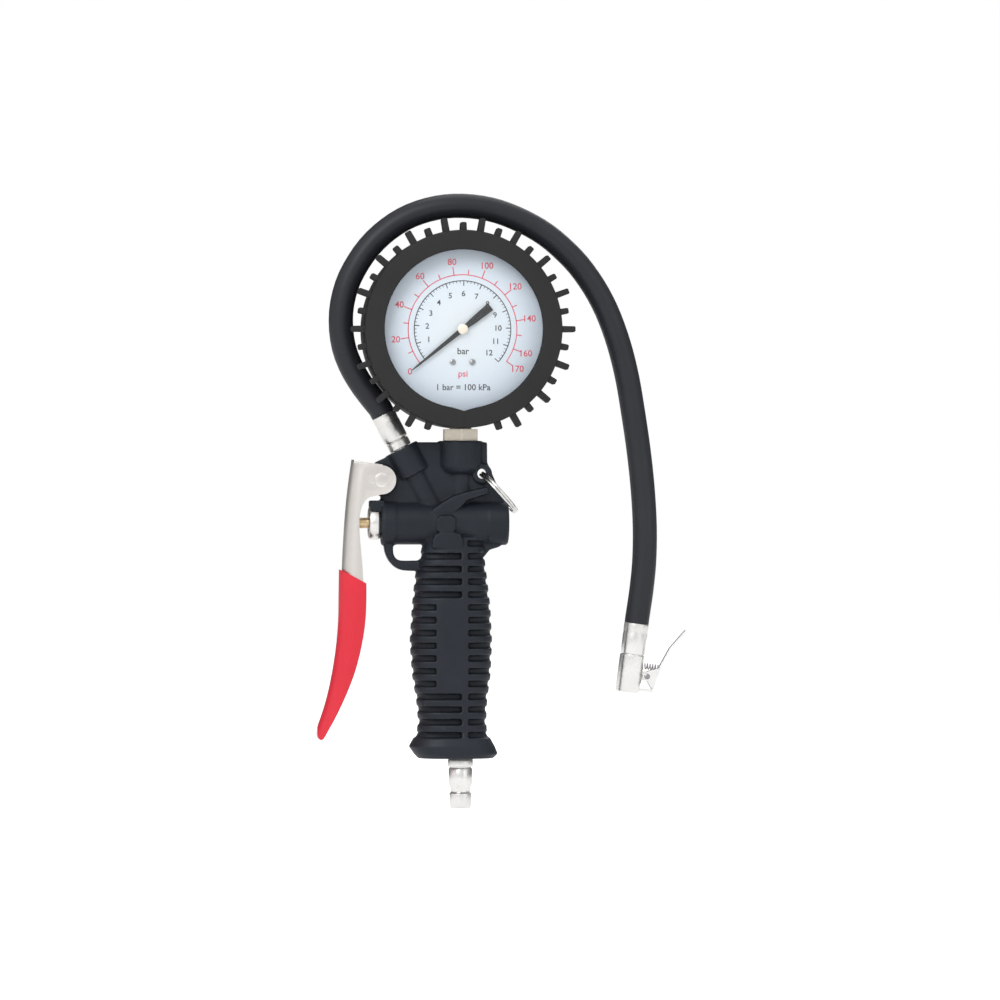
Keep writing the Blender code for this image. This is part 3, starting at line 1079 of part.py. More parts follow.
def chuck_point(along, side=0.0):
    return CHUCK_START + along * CHUCK_AXIS + side * CHUCK_SIDE


def chuck_outline(*points):
    """(x, z) points from (side, along) pairs in millimetres."""
    places = [chuck_point(along * MM, side * MM) for side, along in points]
    return [(p.x, p.z) for p in places]


CHUCK_BODY_START = CHUCK_FERRULE_LENGTH + 2 * GAP
CHUCK_END = CHUCK_BODY_START + CHUCK_BODY_LENGTH
CHUCK_FLOOR = CHUCK_END - CHUCK_MOUTH_DEPTH
CHUCK_PIVOT = CHUCK_START + CHUCK_PIVOT_ALONG * CHUCK_AXIS + CHUCK_PIVOT_SIDE * CHUCK_SIDE


def make_chuck():
    down = -CHUCK_AXIS
    ferrule = turned("chuck_ferrule", CHUCK_START, down, [
        (CHUCK_RADIUS * share, -GAP - CHUCK_FERRULE_LENGTH * along)
        for share, along in ((0, 0), (0.96, 0), (1, 0.04), (1, 0.2), (0.94, 0.26), (0.94, 0.36), (1, 0.42),
                             (1, 0.97), (0.97, 1), (0, 1))
    ], 24)
    finish(ferrule, "nickel")

    body = ring("chuck_body", CHUCK_START, down, CHUCK_PASSAGE, CHUCK_RADIUS, -CHUCK_END,
                -CHUCK_BODY_START, 24)
    pivot = (CHUCK_PIVOT.x, CHUCK_PIVOT.z)
    lug = chuck_outline((4.6, 21.1), (4.6, 25.1), (7.6, 25.1))
    lug += arc(pivot, CHUCK_EAR_RADIUS, -70, 80, 6)
    lug += chuck_outline((7.6, 21.1))
    notch = chuck_outline((3.0, CHUCK_NOTCH_ALONG / MM), (3.0, 40), (20, 40), (20, CHUCK_NOTCH_ALONG / MM))
    join(body, plate("chuck_lug", lug, -CHUCK_LUG_HALF, CHUCK_LUG_HALF))
    cut(
        body,
        rod("chuck_mouth", chuck_point(CHUCK_FLOOR), chuck_point(CHUCK_END + 5 * MM), CHUCK_MOUTH_RADIUS,
            sides=24),
        plate("chuck_notch", notch, -CHUCK_NOTCH_HALF, CHUCK_NOTCH_HALF),
        cross_rod("chuck_pin_hole", CHUCK_PIVOT, CHUCK_PIN_RADIUS + GAP, 12),
    )
    finish(body, "nickel")

    disc = -CHUCK_FLOOR - GAP
    pin_reach = 5 * MM
    depressor = turned("chuck_depressor", CHUCK_START, down, (
        (0, disc), (3.8 * MM, disc), (3.8 * MM, disc - 0.9 * MM), (0.9 * MM, disc - 0.9 * MM),
        (0.9 * MM, disc - pin_reach), (0, disc - pin_reach),
    ), COARSE)
    hole_start, hole_end = chuck_point(CHUCK_FLOOR - MM), chuck_point(CHUCK_FLOOR + 3 * MM)
    air_holes = [
        rod(f"air_hole_{i}", hole_start + across * Y_AXIS, hole_end + across * Y_AXIS, 0.5 * MM, sides=8)
        for i, across in enumerate((-1.7 * MM, 1.7 * MM))
    ]
    finish(cut(depressor, *air_holes), "brass")
    seal_top = disc - 0.9 * MM - GAP
    seal = ring("chuck_seal", CHUCK_START, down, 2.2 * MM, CHUCK_MOUTH_RADIUS - GAP, seal_top - 1.8 * MM,
                seal_top, COARSE)
    finish(seal, "seal_rubber")
    make_chuck_lever(pivot)


def make_chuck_lever(pivot):
    """A bent strip with two cheeks on the lug's sides and a claw that enters the notch."""
    inside = CHUCK_LUG_HALF + GAP
    outside = inside + CHUCK_STEEL
    arm = chuck_outline((10.4, 30.0), (11.2, 30.0), (13.4, 18.4), (17.0, 9.2), (22.9, 0.6), (22.3, 0.1),
                        (16.3, 8.9), (12.6, 18.2))
    cheek = arc(pivot, CHUCK_EAR_RADIUS, 90, 270, 6) + chuck_outline((10.6, 28.6), (12.9, 18.6), (8.4, 20.4))
    claw = chuck_outline((10.9, 28.6), (10.9, 30.0), (3.7, 30.0), (3.7, 28.9), (9.4, 28.6))
    lever = plate("chuck_lever", arm, -outside, outside)
    join(
        lever,
        plate("chuck_cheek_front", cheek, -outside, -inside),
        plate("chuck_cheek_back", cheek, inside, outside),
        plate("chuck_claw", claw, -CHUCK_NOTCH_HALF + 0.7 * MM, CHUCK_NOTCH_HALF - 0.7 * MM),
    )
    cut(lever, cross_rod("chuck_cheek_hole", CHUCK_PIVOT, CHUCK_PIN_RADIUS + GAP, 12))
    set_origin(lever, CHUCK_PIVOT)
    finish(lever, "nickel")
    head = outside + GAP
    pin = turned("chuck_lever_pin", CHUCK_PIVOT, Y_AXIS, (
        (0, head + 0.5 * MM), (1.3 * MM, head + 0.5 * MM), (1.3 * MM, head), (CHUCK_PIN_RADIUS, head),
        (CHUCK_PIN_RADIUS, -head), (1.3 * MM, -head), (1.3 * MM, -head - 0.5 * MM), (0, -head - 0.5 * MM),
    ), 12)
    finish(pin, "steel")
    coil_start = chuck_point(18.6 * MM, CHUCK_RADIUS + GAP + 0.25 * MM)
    coil_end = chuck_point(18.6 * MM, 12.2 * MM)
    finish(wire("chuck_spring", coil_points(coil_start, coil_end, 1.2 * MM, 4, 8), 0.25 * MM), "steel")


clear_scene()
PARTS = new_collection("tyre_inflator_gun")
HELPERS = new_collection("helpers")
make_hose()
make_chuck()
make_inlet()
make_valve_train()
make_lever()
make_ring()
make_case()
make_boot()
make_socket()
make_movement()
make_dial()
make_screws()
make_block()
make_shells()
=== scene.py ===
"""A pistol-grip tyre inflator with a booted dial gauge: its looks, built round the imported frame."""
import json
import logging
import math
from dataclasses import dataclass, replace
from enum import Enum
from typing import Iterable, Sequence

import bmesh
import bpy
from mathutils import Matrix, Vector


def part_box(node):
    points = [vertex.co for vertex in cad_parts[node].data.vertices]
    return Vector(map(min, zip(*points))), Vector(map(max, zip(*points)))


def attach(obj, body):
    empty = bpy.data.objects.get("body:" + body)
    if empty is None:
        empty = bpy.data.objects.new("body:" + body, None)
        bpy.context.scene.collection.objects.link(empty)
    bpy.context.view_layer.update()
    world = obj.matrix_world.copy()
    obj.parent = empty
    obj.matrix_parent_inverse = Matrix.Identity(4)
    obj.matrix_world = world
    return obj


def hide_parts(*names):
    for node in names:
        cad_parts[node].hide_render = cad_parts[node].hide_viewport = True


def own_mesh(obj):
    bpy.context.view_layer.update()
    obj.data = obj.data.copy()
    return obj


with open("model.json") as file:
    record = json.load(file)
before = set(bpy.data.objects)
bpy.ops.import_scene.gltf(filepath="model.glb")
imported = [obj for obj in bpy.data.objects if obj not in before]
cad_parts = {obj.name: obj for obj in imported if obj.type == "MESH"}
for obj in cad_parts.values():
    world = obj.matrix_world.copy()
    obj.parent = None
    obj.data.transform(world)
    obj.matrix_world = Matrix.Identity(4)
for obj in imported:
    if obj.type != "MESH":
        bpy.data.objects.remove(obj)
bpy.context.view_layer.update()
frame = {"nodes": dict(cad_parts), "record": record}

LOG = logging.getLogger("inflator")
MM = 0.001
WELD = 1e-6
SHARP = math.radians(38)
REACH = 60 * MM
ORIGIN = Vector((0, 0, 0))
X_AXIS, Y_AXIS, Z_AXIS = Vector((1, 0, 0)), Vector((0, 1, 0)), Vector((0, 0, 1))
GAUGE = Vector((0, 0, 215.1 * MM))
BARREL_HEIGHT = 128.3 * MM
PIVOT = Vector((-36.0 * MM, 0, 147.6 * MM))
RING_HOLE = Vector((9.6 * MM, 0, 150.4 * MM))
OUTLET_START = Vector((-34.85 * MM, 0, 177.2 * MM))
OUTLET_AXIS = Vector((0.46175, 0, -0.88701))
CHUCK_START = Vector((79.7 * MM, 0, 83.0 * MM))
CHUCK_AXIS = Vector((-0.13226, 0, -0.99122))
CHUCK_SIDE = Vector((0.99122, 0, -0.13226))

Point2 = tuple[float, float]
Profile = tuple[Point2, ...]
Colour = tuple[float, float, float]


class Cut(Enum):
    """How a second solid changes the first."""

    AWAY = "DIFFERENCE"
    JOINED = "UNION"
    SHARED = "INTERSECT"


# Shapes


def standing(base: Vector, axis: Vector) -> Matrix:
    """Gives the matrix that stands local +Z along an axis.

    Args:
        base: Where the local origin goes.
        axis: The direction that local +Z takes.

    Returns:
        The placing matrix.
    """
    return Matrix.Translation(base) @ axis.to_track_quat("Z", "Y").to_matrix().to_4x4()


def tidy(bm: bmesh.types.BMesh) -> bmesh.types.BMesh:
    """Merges doubled points and turns the faces outwards."""
    bmesh.ops.remove_doubles(bm, verts=bm.verts[:], dist=WELD)
    bmesh.ops.recalc_face_normals(bm, faces=bm.faces[:])
    return bm


def ease(bm: bmesh.types.BMesh, width: float, segments: int = 3, angle: float = 35.0) -> bmesh.types.BMesh:
    """Rounds every edge that is sharper than an angle.

    Args:
        bm: The closed shape.
        width: Width of the rounding, in metres.
        segments: Steps across the rounding.
        angle: Least angle between two faces, in degrees.

    Returns:
        The same shape.
    """
    limit = math.radians(angle)
    edges = [edge for edge in bm.edges if edge.is_manifold and edge.calc_face_angle(0) > limit]
    bmesh.ops.bevel(bm, geom=edges, offset=width, offset_type="OFFSET", segments=segments, profile=0.5,
                    affect="EDGES", clamp_overlap=True, material=-1)
    return bm


def spun(profile: Sequence[Point2], place: Matrix, steps: int = 96, closed: bool = False,
         edge: float = 0.0) -> bmesh.types.BMesh:
    """Spins a profile about local Z.

    Args:
        profile: Radius and height pairs in millimetres.
        place: Where the shape goes.
        steps: Steps round the axis.
        closed: Whether the last point joins the first.
        edge: Rounding of the sharp rings, in millimetres.

    Returns:
        The closed shape.
    """
    bm = bmesh.new()
    verts = [bm.verts.new((radius * MM, 0, height * MM)) for radius, height in profile]
    pairs = list(zip(verts, verts[1:])) + ([(verts[-1], verts[0])] if closed else [])
    edges = [bm.edges.new(pair) for pair in pairs]
    bmesh.ops.spin(bm, geom=verts + edges, cent=(0, 0, 0), axis=(0, 0, 1), angle=math.tau, steps=steps,
                   use_merge=True, use_duplicate=False)
    tidy(bm)
    if edge:
        ease(bm, edge * MM)
    bmesh.ops.transform(bm, matrix=place, verts=bm.verts[:])
    return tidy(bm)


def rod(start: Vector, end: Vector, radius: float, sides: int = 96) -> bmesh.types.BMesh:
    """Makes a cylinder between two points.

    Args:
        start: Middle of the first end.
        end: Middle of the second end.
        radius: Radius in metres.
        sides: Number of sides.

    Returns:
        The closed shape.
    """
    bm = bmesh.new()
    length = (end - start).length
    place = standing((start + end) / 2, end - start)
    bmesh.ops.create_cone(bm, cap_ends=True, segments=sides, radius1=radius, radius2=radius, depth=length,
                          matrix=place)
    return bm


def crossing(centre: Vector, radius: float, sides: int = 48, half: float = REACH) -> bmesh.types.BMesh:
    """Makes a cylinder along Y.

    Args:
        centre: Its middle.
        radius: Radius in metres.
        sides: Number of sides.
        half: Half its length in metres.

    Returns:
        The closed shape.
    """
    return rod(centre - half * Y_AXIS, centre + half * Y_AXIS, radius, sides)


def scaled(points: Iterable[Point2]) -> list[Point2]:
    """Turns pairs in millimetres into pairs in metres."""
    return [(x * MM, z * MM) for x, z in points]


def mirrored(points: Sequence[Point2]) -> list[Point2]:
    """Follows an outline's points and then their mirror image back, which closes the outline."""
    return [*points, *((x, -z) for x, z in reversed(points))]


def plate(outline: Iterable[Point2], low: float, high: float) -> bmesh.types.BMesh:
    """Extrudes an outline in x and z along y.

    Args:
        outline: The corners, in metres.
        low: y of the front face.
        high: y of the back face.

    Returns:
        The closed shape.
    """
    bm = bmesh.new()
    face = bm.faces.new([bm.verts.new((x, low, z)) for x, z in outline])
    made = bmesh.ops.extrude_face_region(bm, geom=[face])
    moved = [item for item in made["geom"] if isinstance(item, bmesh.types.BMVert)]
    bmesh.ops.translate(bm, verts=moved, vec=(0, high - low, 0))
    return tidy(bm)


def block(low: Sequence[float], high: Sequence[float]) -> bmesh.types.BMesh:
    """Makes a box between two corners, in metres."""
    bm = bmesh.new()
    low, high = Vector(low), Vector(high)
    size = Matrix.Diagonal((*(high - low), 1))
    bmesh.ops.create_cube(bm, size=1, matrix=Matrix.Translation((low + high) / 2) @ size)
    return bm


def gathered(shapes: Iterable[bmesh.types.BMesh]) -> bmesh.types.BMesh:
    """Puts several shapes into one, and frees them."""
    whole = bmesh.new()
    for shape in shapes:
        mesh = bpy.data.meshes.new("gathered")
        shape.to_mesh(mesh)
        shape.free()
        whole.from_mesh(mesh)
        bpy.data.meshes.remove(mesh)
    return whole


def as_object(name: str, bm: bmesh.types.BMesh, sharp: float = SHARP) -> bpy.types.Object:
    """Makes a smooth-shaded object of a shape and frees the shape.

    Args:
        name: The object's name.
        bm: The shape.
        sharp: Angle past which an edge stays crisp, in radians.

    Returns:
        The new object, at the origin.
    """
    mesh = bpy.data.meshes.new(name)
    bm.to_mesh(mesh)
    bm.free()
    mesh.shade_smooth()
    mesh.set_sharp_from_angle(angle=sharp)
    obj = bpy.data.objects.new(name, mesh)
    bpy.context.scene.collection.objects.link(obj)
    return obj


def settled(obj: bpy.types.Object, sharp: float = SHARP) -> bpy.types.Object:
    """Makes what the modifiers give the object's own mesh.

    Args:
        obj: The object.
        sharp: Angle past which an edge stays crisp, in radians.

    Returns:
        The same object, with no modifiers.
    """
    bpy.context.view_layer.update()
    mesh = bpy.data.meshes.new_from_object(obj.evaluated_get(bpy.context.evaluated_depsgraph_get()))
    obj.modifiers.clear()
    old, obj.data = obj.data, mesh
    bpy.data.meshes.remove(old)
    mesh.name = obj.name
    mesh.shade_smooth()
    mesh.set_sharp_from_angle(angle=sharp)
    return obj


def changed(obj: bpy.types.Object, how: Cut, shapes: Iterable[bmesh.types.BMesh],
            solver: str = "MANIFOLD") -> bpy.types.Object:
    """Cuts, joins or trims an object with several closed shapes.

    Args:
        obj: The object to change.
        how: What the shapes do to it.
        shapes: The closed shapes, which are freed.
        solver: Blender's solver for the Boolean.

    Returns:
        The changed object.
    """
    for shape in shapes:
        tool = as_object("tool", shape)
        modifier = obj.modifiers.new("cut", "BOOLEAN")
        modifier.operation, modifier.solver, modifier.object = how.value, solver, tool
        settled(obj)
        bpy.data.objects.remove(tool, do_unlink=True)
    return obj


def lifted(obj: bpy.types.Object) -> bmesh.types.BMesh:
    """Takes an object's shape out of it and removes the object."""
    bm = bmesh.new()
    bm.from_mesh(obj.data)
    bpy.data.objects.remove(obj, do_unlink=True)
    return bm


def rounded(obj: bpy.types.Object, voxel: float, rounds: int, sharp: float = SHARP) -> bpy.types.Object:
    """Melts an object's solids into one and softens its corners.

    Args:
        obj: The object.
        voxel: Size of the cells, in metres.
        rounds: How many times the corners are smoothed.
        sharp: Angle past which an edge stays crisp, in radians.

    Returns:
        The same object.
    """
    remesh = obj.modifiers.new("melted", "REMESH")
    remesh.mode, remesh.voxel_size = "VOXEL", voxel
    smooth = obj.modifiers.new("softened", "SMOOTH")
    smooth.factor, smooth.iterations = 0.5, rounds
    return settled(obj, sharp)


def flowing(route: Sequence[Vector], spacing: float) -> list[Vector]:
    """Spaces points evenly along a Catmull-Rom curve.

    Args:
        route: The points that the curve passes through.
        spacing: Distance between two points, in metres.

    Returns:
        The points.
    """
    ends = [2 * route[0] - route[1], *route, 2 * route[-1] - route[-2]]
    fine = [
        0.5 * (2 * b + (c - a) * t + (2 * a - 5 * b + 4 * c - d) * t * t + (3 * b - a - 3 * c + d) * t ** 3)
        for a, b, c, d in zip(ends, ends[1:], ends[2:], ends[3:])
        for t in (i / 20 for i in range(20))
    ] + [route[-1]]
    lengths = [0.0]
    for first, second in zip(fine, fine[1:]):
        lengths.append(lengths[-1] + (second - first).length)
    count = max(2, round(lengths[-1] / spacing))
    points, place = [], 0
    for i in range(count + 1):
        target = lengths[-1] * i / count
        while place < len(fine) - 2 and lengths[place + 1] < target:
            place += 1
        share = (target - lengths[place]) / (lengths[place + 1] - lengths[place])
        points.append(fine[place].lerp(fine[place + 1], share))
    return points


def softened(corners: Sequence[Point2], spacing: float = 1.5 * MM) -> list[Point2]:
    """Draws a smooth open line through corners in x and z, in metres."""
    return [(p.x, p.z) for p in flowing([Vector((x, 0, z)) for x, z in corners], spacing)]


def arc(centre: Point2, radius: float, start: float, end: float, steps: int = 16) -> list[Point2]:
    """Gives points along an arc, with angles in degrees."""
    angles = [math.radians(start + (end - start) * i / steps) for i in range(steps + 1)]
    return [(centre[0] + radius * math.cos(a), centre[1] + radius * math.sin(a)) for a in angles]


def offset(outline: Sequence[Point2], distance: float) -> list[Point2]:
    """Moves an anticlockwise outline outwards.

    Args:
        outline: The corners, in metres.
        distance: How far each side moves, in metres.

    Returns:
        The moved corners.
    """
    moved = []
    outline = list(outline)
    for before, here, after in zip(outline[-1:] + outline[:-1], outline, outline[1:] + outline[:1]):
        first = Vector((here[1] - before[1], before[0] - here[0])).normalized()
        second = Vector((after[1] - here[1], here[0] - after[0])).normalized()
        mitre = (first + second).normalized()
        reach = distance / max(0.5, mitre.dot(first))
        moved.append((here[0] + mitre.x * reach, here[1] + mitre.y * reach))
    return moved


def strand(name: str, points: Sequence[Vector], radius: float, roundness: int = 6) -> bpy.types.Object:
    """Makes a round curve through points.

    Args:
        name: The object's name.
        points: The curve's points.
        radius: Radius in metres.
        roundness: Bevel resolution.

    Returns:
        The curve object, at the origin.
    """
    data = bpy.data.curves.new(name, "CURVE")
    data.dimensions = "3D"
    data.bevel_depth, data.bevel_resolution, data.use_fill_caps = radius, roundness, True
    spline = data.splines.new("POLY")
    spline.points.add(len(points) - 1)
    for point, place in zip(spline.points, points):
        point.co = (*place, 1)
    spline.use_smooth = True
    obj = bpy.data.objects.new(name, data)
    bpy.context.scene.collection.objects.link(obj)
    return obj


def helix(start: Vector, end: Vector, radius: float, turns: int) -> list[Vector]:
    """Gives the points of a coil between two points, all in metres."""
    axis = (end - start).normalized()
    across = axis.cross(Y_AXIS)
    count = 24 * turns
    turned = [(i / count, math.tau * turns * i / count) for i in range(count + 1)]
    return [start.lerp(end, t) + radius * (math.cos(a) * across + math.sin(a) * Y_AXIS) for t, a in turned]


def meshed(obj: bpy.types.Object) -> bpy.types.Object:
    """Replaces a curve or text object with a mesh object of the same name."""
    bpy.context.view_layer.update()
    mesh = bpy.data.meshes.new_from_object(obj.evaluated_get(bpy.context.evaluated_depsgraph_get()))
    name = obj.name
    bpy.data.objects.remove(obj, do_unlink=True)
    bm = bmesh.new()
    bm.from_mesh(mesh)
    bpy.data.meshes.remove(mesh)
    return as_object(name, tidy(bm))


# Finishes


class Nodes:
    """Adds and joins the nodes of one tree."""

    def __init__(self, tree: bpy.types.NodeTree) -> None:
        """Keeps the tree."""
        self.tree = tree

    def add(self, kind: str, inputs: dict[str | int, object] | None = None,
            **settings: object) -> bpy.types.Node:
        """Adds a node.

        Args:
            kind: The node's type without its ShaderNode prefix.
            inputs: Values or sockets for its inputs.
            **settings: The node's own properties.

        Returns:
            The node.
        """
        node = self.tree.nodes.new(f"ShaderNode{kind}")
        for name, value in settings.items():
            setattr(node, name, value)
        for name, value in (inputs or {}).items():
            if isinstance(value, bpy.types.NodeSocket):
                self.tree.links.new(value, node.inputs[name])
            else:
                node.inputs[name].default_value = value
        return node

    def group(self, made: bpy.types.NodeTree, inputs: dict[str, object]) -> bpy.types.Node:
        """Places a node group with its own values."""
        return self.add("Group", inputs, node_tree=made)

    def mixed(self, share: object, first: object, second: object) -> bpy.types.NodeSocket:
        """Mixes two colours."""
        return self.add("Mix", {0: share, 6: first, 7: second}, data_type="RGBA").outputs[2]

    def ranged(self, value: bpy.types.NodeSocket, low: float, high: float, to_low: float,
               to_high: float) -> bpy.types.NodeSocket:
        """Maps one span of values onto another."""
        node = self.add("MapRange", {"Value": value, "From Min": low, "From Max": high, "To Min": to_low,
                                     "To Max": to_high})
        return node.outputs["Result"]

    def sum(self, operation: str, first: object, second: object) -> bpy.types.NodeSocket:
        """Joins two numbers with a Math operation."""
        return self.add("Math", {0: first, 1: second}, operation=operation).outputs[0]


def new_group(name: str, inputs: dict[str, tuple[str, object]], outputs: Sequence[str]) -> tuple[
        bpy.types.NodeTree, Nodes, bpy.types.Node, bpy.types.Node]:
    """Starts a node group with its sockets.

    Args:
        name: The group's name.
        inputs: Socket type and first value of each input.
        outputs: The names of its float outputs.

    Returns:
        The tree, its helper, and its input and output nodes.
    """
    tree = bpy.data.node_groups.new(name, "ShaderNodeTree")
    for socket, (kind, value) in inputs.items():
        made = tree.interface.new_socket(socket, in_out="INPUT", socket_type=kind)
        made.default_value = value
    for socket in outputs:
        tree.interface.new_socket(socket, in_out="OUTPUT", socket_type="NodeSocketFloat")
    return tree, Nodes(tree), tree.nodes.new("NodeGroupInput"), tree.nodes.new("NodeGroupOutput")


class Effects:
    """The effects that several finishes share, each made once."""

    FLOAT = "NodeSocketFloat"

    def __init__(self) -> None:
        """Builds the groups."""
        self.grain = self.make_grain()
        self.wear = self.make_wear()
        self.lathe = self.make_lathe()
        self.dust = self.make_dust()
        self.crevice = self.make_crevice()

    def make_grain(self) -> bpy.types.NodeTree:
        """Makes mottling and a fine moulded grain."""
        tree, nodes, start, end = new_group(
            "surface_grain",
            {"Coarse Scale": (self.FLOAT, 60.0), "Fine Scale": (self.FLOAT, 1500.0),
             "Fine Share": (self.FLOAT, 0.5)},
            ("Variation", "Height"))
        place = nodes.add("TexCoord").outputs["Object"]
        coarse = nodes.add("TexNoise", {"Vector": place, "Scale": start.outputs["Coarse Scale"],
                                        "Detail": 4.0, "Roughness": 0.55})
        fine = nodes.add("TexNoise", {"Vector": place, "Scale": start.outputs["Fine Scale"],
                                      "Detail": 2.0, "Roughness": 0.6})
        cells = nodes.add("TexVoronoi", {"Vector": place, "Scale": start.outputs["Fine Scale"]})
        pits = nodes.sum("ADD", fine.outputs[0], nodes.sum("MULTIPLY", cells.outputs["Distance"], 0.5))
        kept = nodes.sum("MULTIPLY", pits, start.outputs["Fine Share"])
        height = nodes.sum("ADD", kept, nodes.sum("MULTIPLY", coarse.outputs[0], 0.35))
        tree.links.new(nodes.ranged(coarse.outputs[0], 0.32, 0.68, 0, 1), end.inputs["Variation"])
        tree.links.new(height, end.inputs["Height"])
        return tree

    def make_wear(self) -> bpy.types.NodeTree:
        """Makes a mask that is full on worn outer edges, broken up by noise."""
        tree, nodes, start, end = new_group(
            "edge_wear",
            {"Start": (self.FLOAT, 0.51), "Full": (self.FLOAT, 0.56), "Break Scale": (self.FLOAT, 300.0)},
            ("Mask",))
        place = nodes.add("TexCoord").outputs["Object"]
        point = nodes.add("NewGeometry").outputs["Pointiness"]
        edge = nodes.add("MapRange", {"Value": point, "From Min": start.outputs["Start"],
                                      "From Max": start.outputs["Full"]}).outputs["Result"]
        noise = nodes.add("TexNoise", {"Vector": place, "Scale": start.outputs["Break Scale"],
                                       "Detail": 5.0}).outputs[0]
        tree.links.new(nodes.sum("MULTIPLY", edge, nodes.ranged(noise, 0.4, 0.62, 0, 1)),
                       end.inputs["Mask"])
        return tree

    def make_lathe(self) -> bpy.types.NodeTree:
        """Makes fine turning lines that run round an axis."""
        tree, nodes, start, end = new_group(
            "turning_lines",
            {"Axis": ("NodeSocketVector", (0.0, 0.0, 1.0)), "Scale": (self.FLOAT, 4000.0)},
            ("Lines",))
        place = nodes.add("TexCoord").outputs["Object"]
        along = nodes.add("VectorMath", {0: place, 1: start.outputs["Axis"]}, operation="DOT_PRODUCT")
        lines = nodes.add("TexNoise", {"W": along.outputs["Value"], "Scale": start.outputs["Scale"],
                                       "Detail": 3.0}, noise_dimensions="1D")
        tree.links.new(lines.outputs[0], end.inputs["Lines"])
        return tree

    def make_dust(self) -> bpy.types.NodeTree:
        """Makes a mask of sparse pale specks."""
        tree, nodes, start, end = new_group(
            "dust_specks", {"Scale": (self.FLOAT, 700.0), "Amount": (self.FLOAT, 0.1)}, ("Mask",))
        place = nodes.add("TexCoord").outputs["Object"]
        cells = nodes.add("TexVoronoi", {"Vector": place, "Scale": start.outputs["Scale"]})
        dots = nodes.ranged(cells.outputs["Distance"], 0.1, 0.0, 0, 1)
        tree.links.new(nodes.sum("MULTIPLY", dots, start.outputs["Amount"]), end.inputs["Mask"])
        return tree

    def make_crevice(self) -> bpy.types.NodeTree:
        """Makes a mask of painted shade that is full in narrow inner corners."""
        tree, nodes, start, end = new_group(
            "crevice_shade", {"Start": (self.FLOAT, 0.495), "Full": (self.FLOAT, 0.44)}, ("Mask",))
        point = nodes.add("NewGeometry").outputs["Pointiness"]
        mask = nodes.add("MapRange", {"Value": point, "From Min": start.outputs["Start"],
                                      "From Max": start.outputs["Full"]}).outputs["Result"]
        tree.links.new(mask, end.inputs["Mask"])
        return tree


EFFECTS = Effects()
MADE: dict[str, bpy.types.Material] = {}


@dataclass(frozen=True)
class Finish:
    """A surface with two tones, a roughness span and a grain, and where wanted wear, dust, turning and
    painted shade in narrow inner corners.
    """

    name: str
    tone: Colour
    second: Colour
    rough: tuple[float, float] = (0.5, 0.6)
    metallic: float = 0.0
    coarse: float = 60.0
    fine: float = 1500.0
    fine_share: float = 0.5
    relief: float = 0.03
    worn: Colour | None = None
    wear: tuple[float, float] = (0.52, 0.58)
    dust: float = 0.0
    coat: float = 0.0
    turned: tuple[float, float, float] | None = None
    specular: float = 0.5
    # share of painted shade that darkens narrow inner corners
    crevice: float = 0.0

    def material(self) -> bpy.types.Material:
        """Gives the finish's material, made the first time it is asked for."""
        if self.name not in MADE:
            MADE[self.name] = self.build()
        return MADE[self.name]

    def build(self) -> bpy.types.Material:
        """Makes the material's nodes.

        Returns:
            The new material.
        """
        made = bpy.data.materials.new(self.name)
        made.use_nodes = True
        nodes = Nodes(made.node_tree)
        shader = made.node_tree.nodes["Principled BSDF"]
        grain = nodes.group(EFFECTS.grain, {"Coarse Scale": self.coarse, "Fine Scale": self.fine,
                                            "Fine Share": self.fine_share})
        colour = nodes.mixed(grain.outputs["Variation"], (*self.tone, 1), (*self.second, 1))
        rough = nodes.ranged(grain.outputs["Variation"], 0, 1, *self.rough)
        height = grain.outputs["Height"]
        if self.worn:
            mask = nodes.group(EFFECTS.wear, {"Start": self.wear[0], "Full": self.wear[1],
                                              "Break Scale": self.coarse * 6}).outputs["Mask"]
            colour = nodes.mixed(mask, colour, (*self.worn, 1))
        # painted shade: the colour darkens to near black and the roughness rises in narrow inner corners,
        # where shade falls
        if self.crevice:
            mask = nodes.group(EFFECTS.crevice, {}).outputs["Mask"]
            mask = nodes.sum("MULTIPLY", mask, self.crevice)
            colour = nodes.mixed(mask, colour, (0.002, 0.002, 0.003, 1))
            rough = nodes.sum("ADD", rough, nodes.sum("MULTIPLY", mask, 0.4))
        if self.dust:
            specks = nodes.group(EFFECTS.dust, {"Scale": self.fine * 0.4, "Amount": self.dust})
            colour = nodes.mixed(specks.outputs["Mask"], colour, (0.6, 0.6, 0.6, 1))
        if self.turned:
            lines = nodes.group(EFFECTS.lathe, {"Axis": self.turned, "Scale": 3500.0}).outputs["Lines"]
            height = nodes.sum("ADD", height, lines)
            rough = nodes.sum("ADD", rough, nodes.ranged(lines, 0.3, 0.7, -0.03, 0.03))
        bump = nodes.add("Bump", {"Height": height, "Strength": 0.6, "Distance": self.relief * MM})
        made.node_tree.links.new(colour, shader.inputs["Base Color"])
        made.node_tree.links.new(rough, shader.inputs["Roughness"])
        made.node_tree.links.new(bump.outputs["Normal"], shader.inputs["Normal"])
        shader.inputs["Metallic"].default_value = self.metallic
        shader.inputs["Specular IOR Level"].default_value = self.specular
        shader.inputs["Coat Weight"].default_value = self.coat
        shader.inputs["Coat Roughness"].default_value = 0.12
        return made


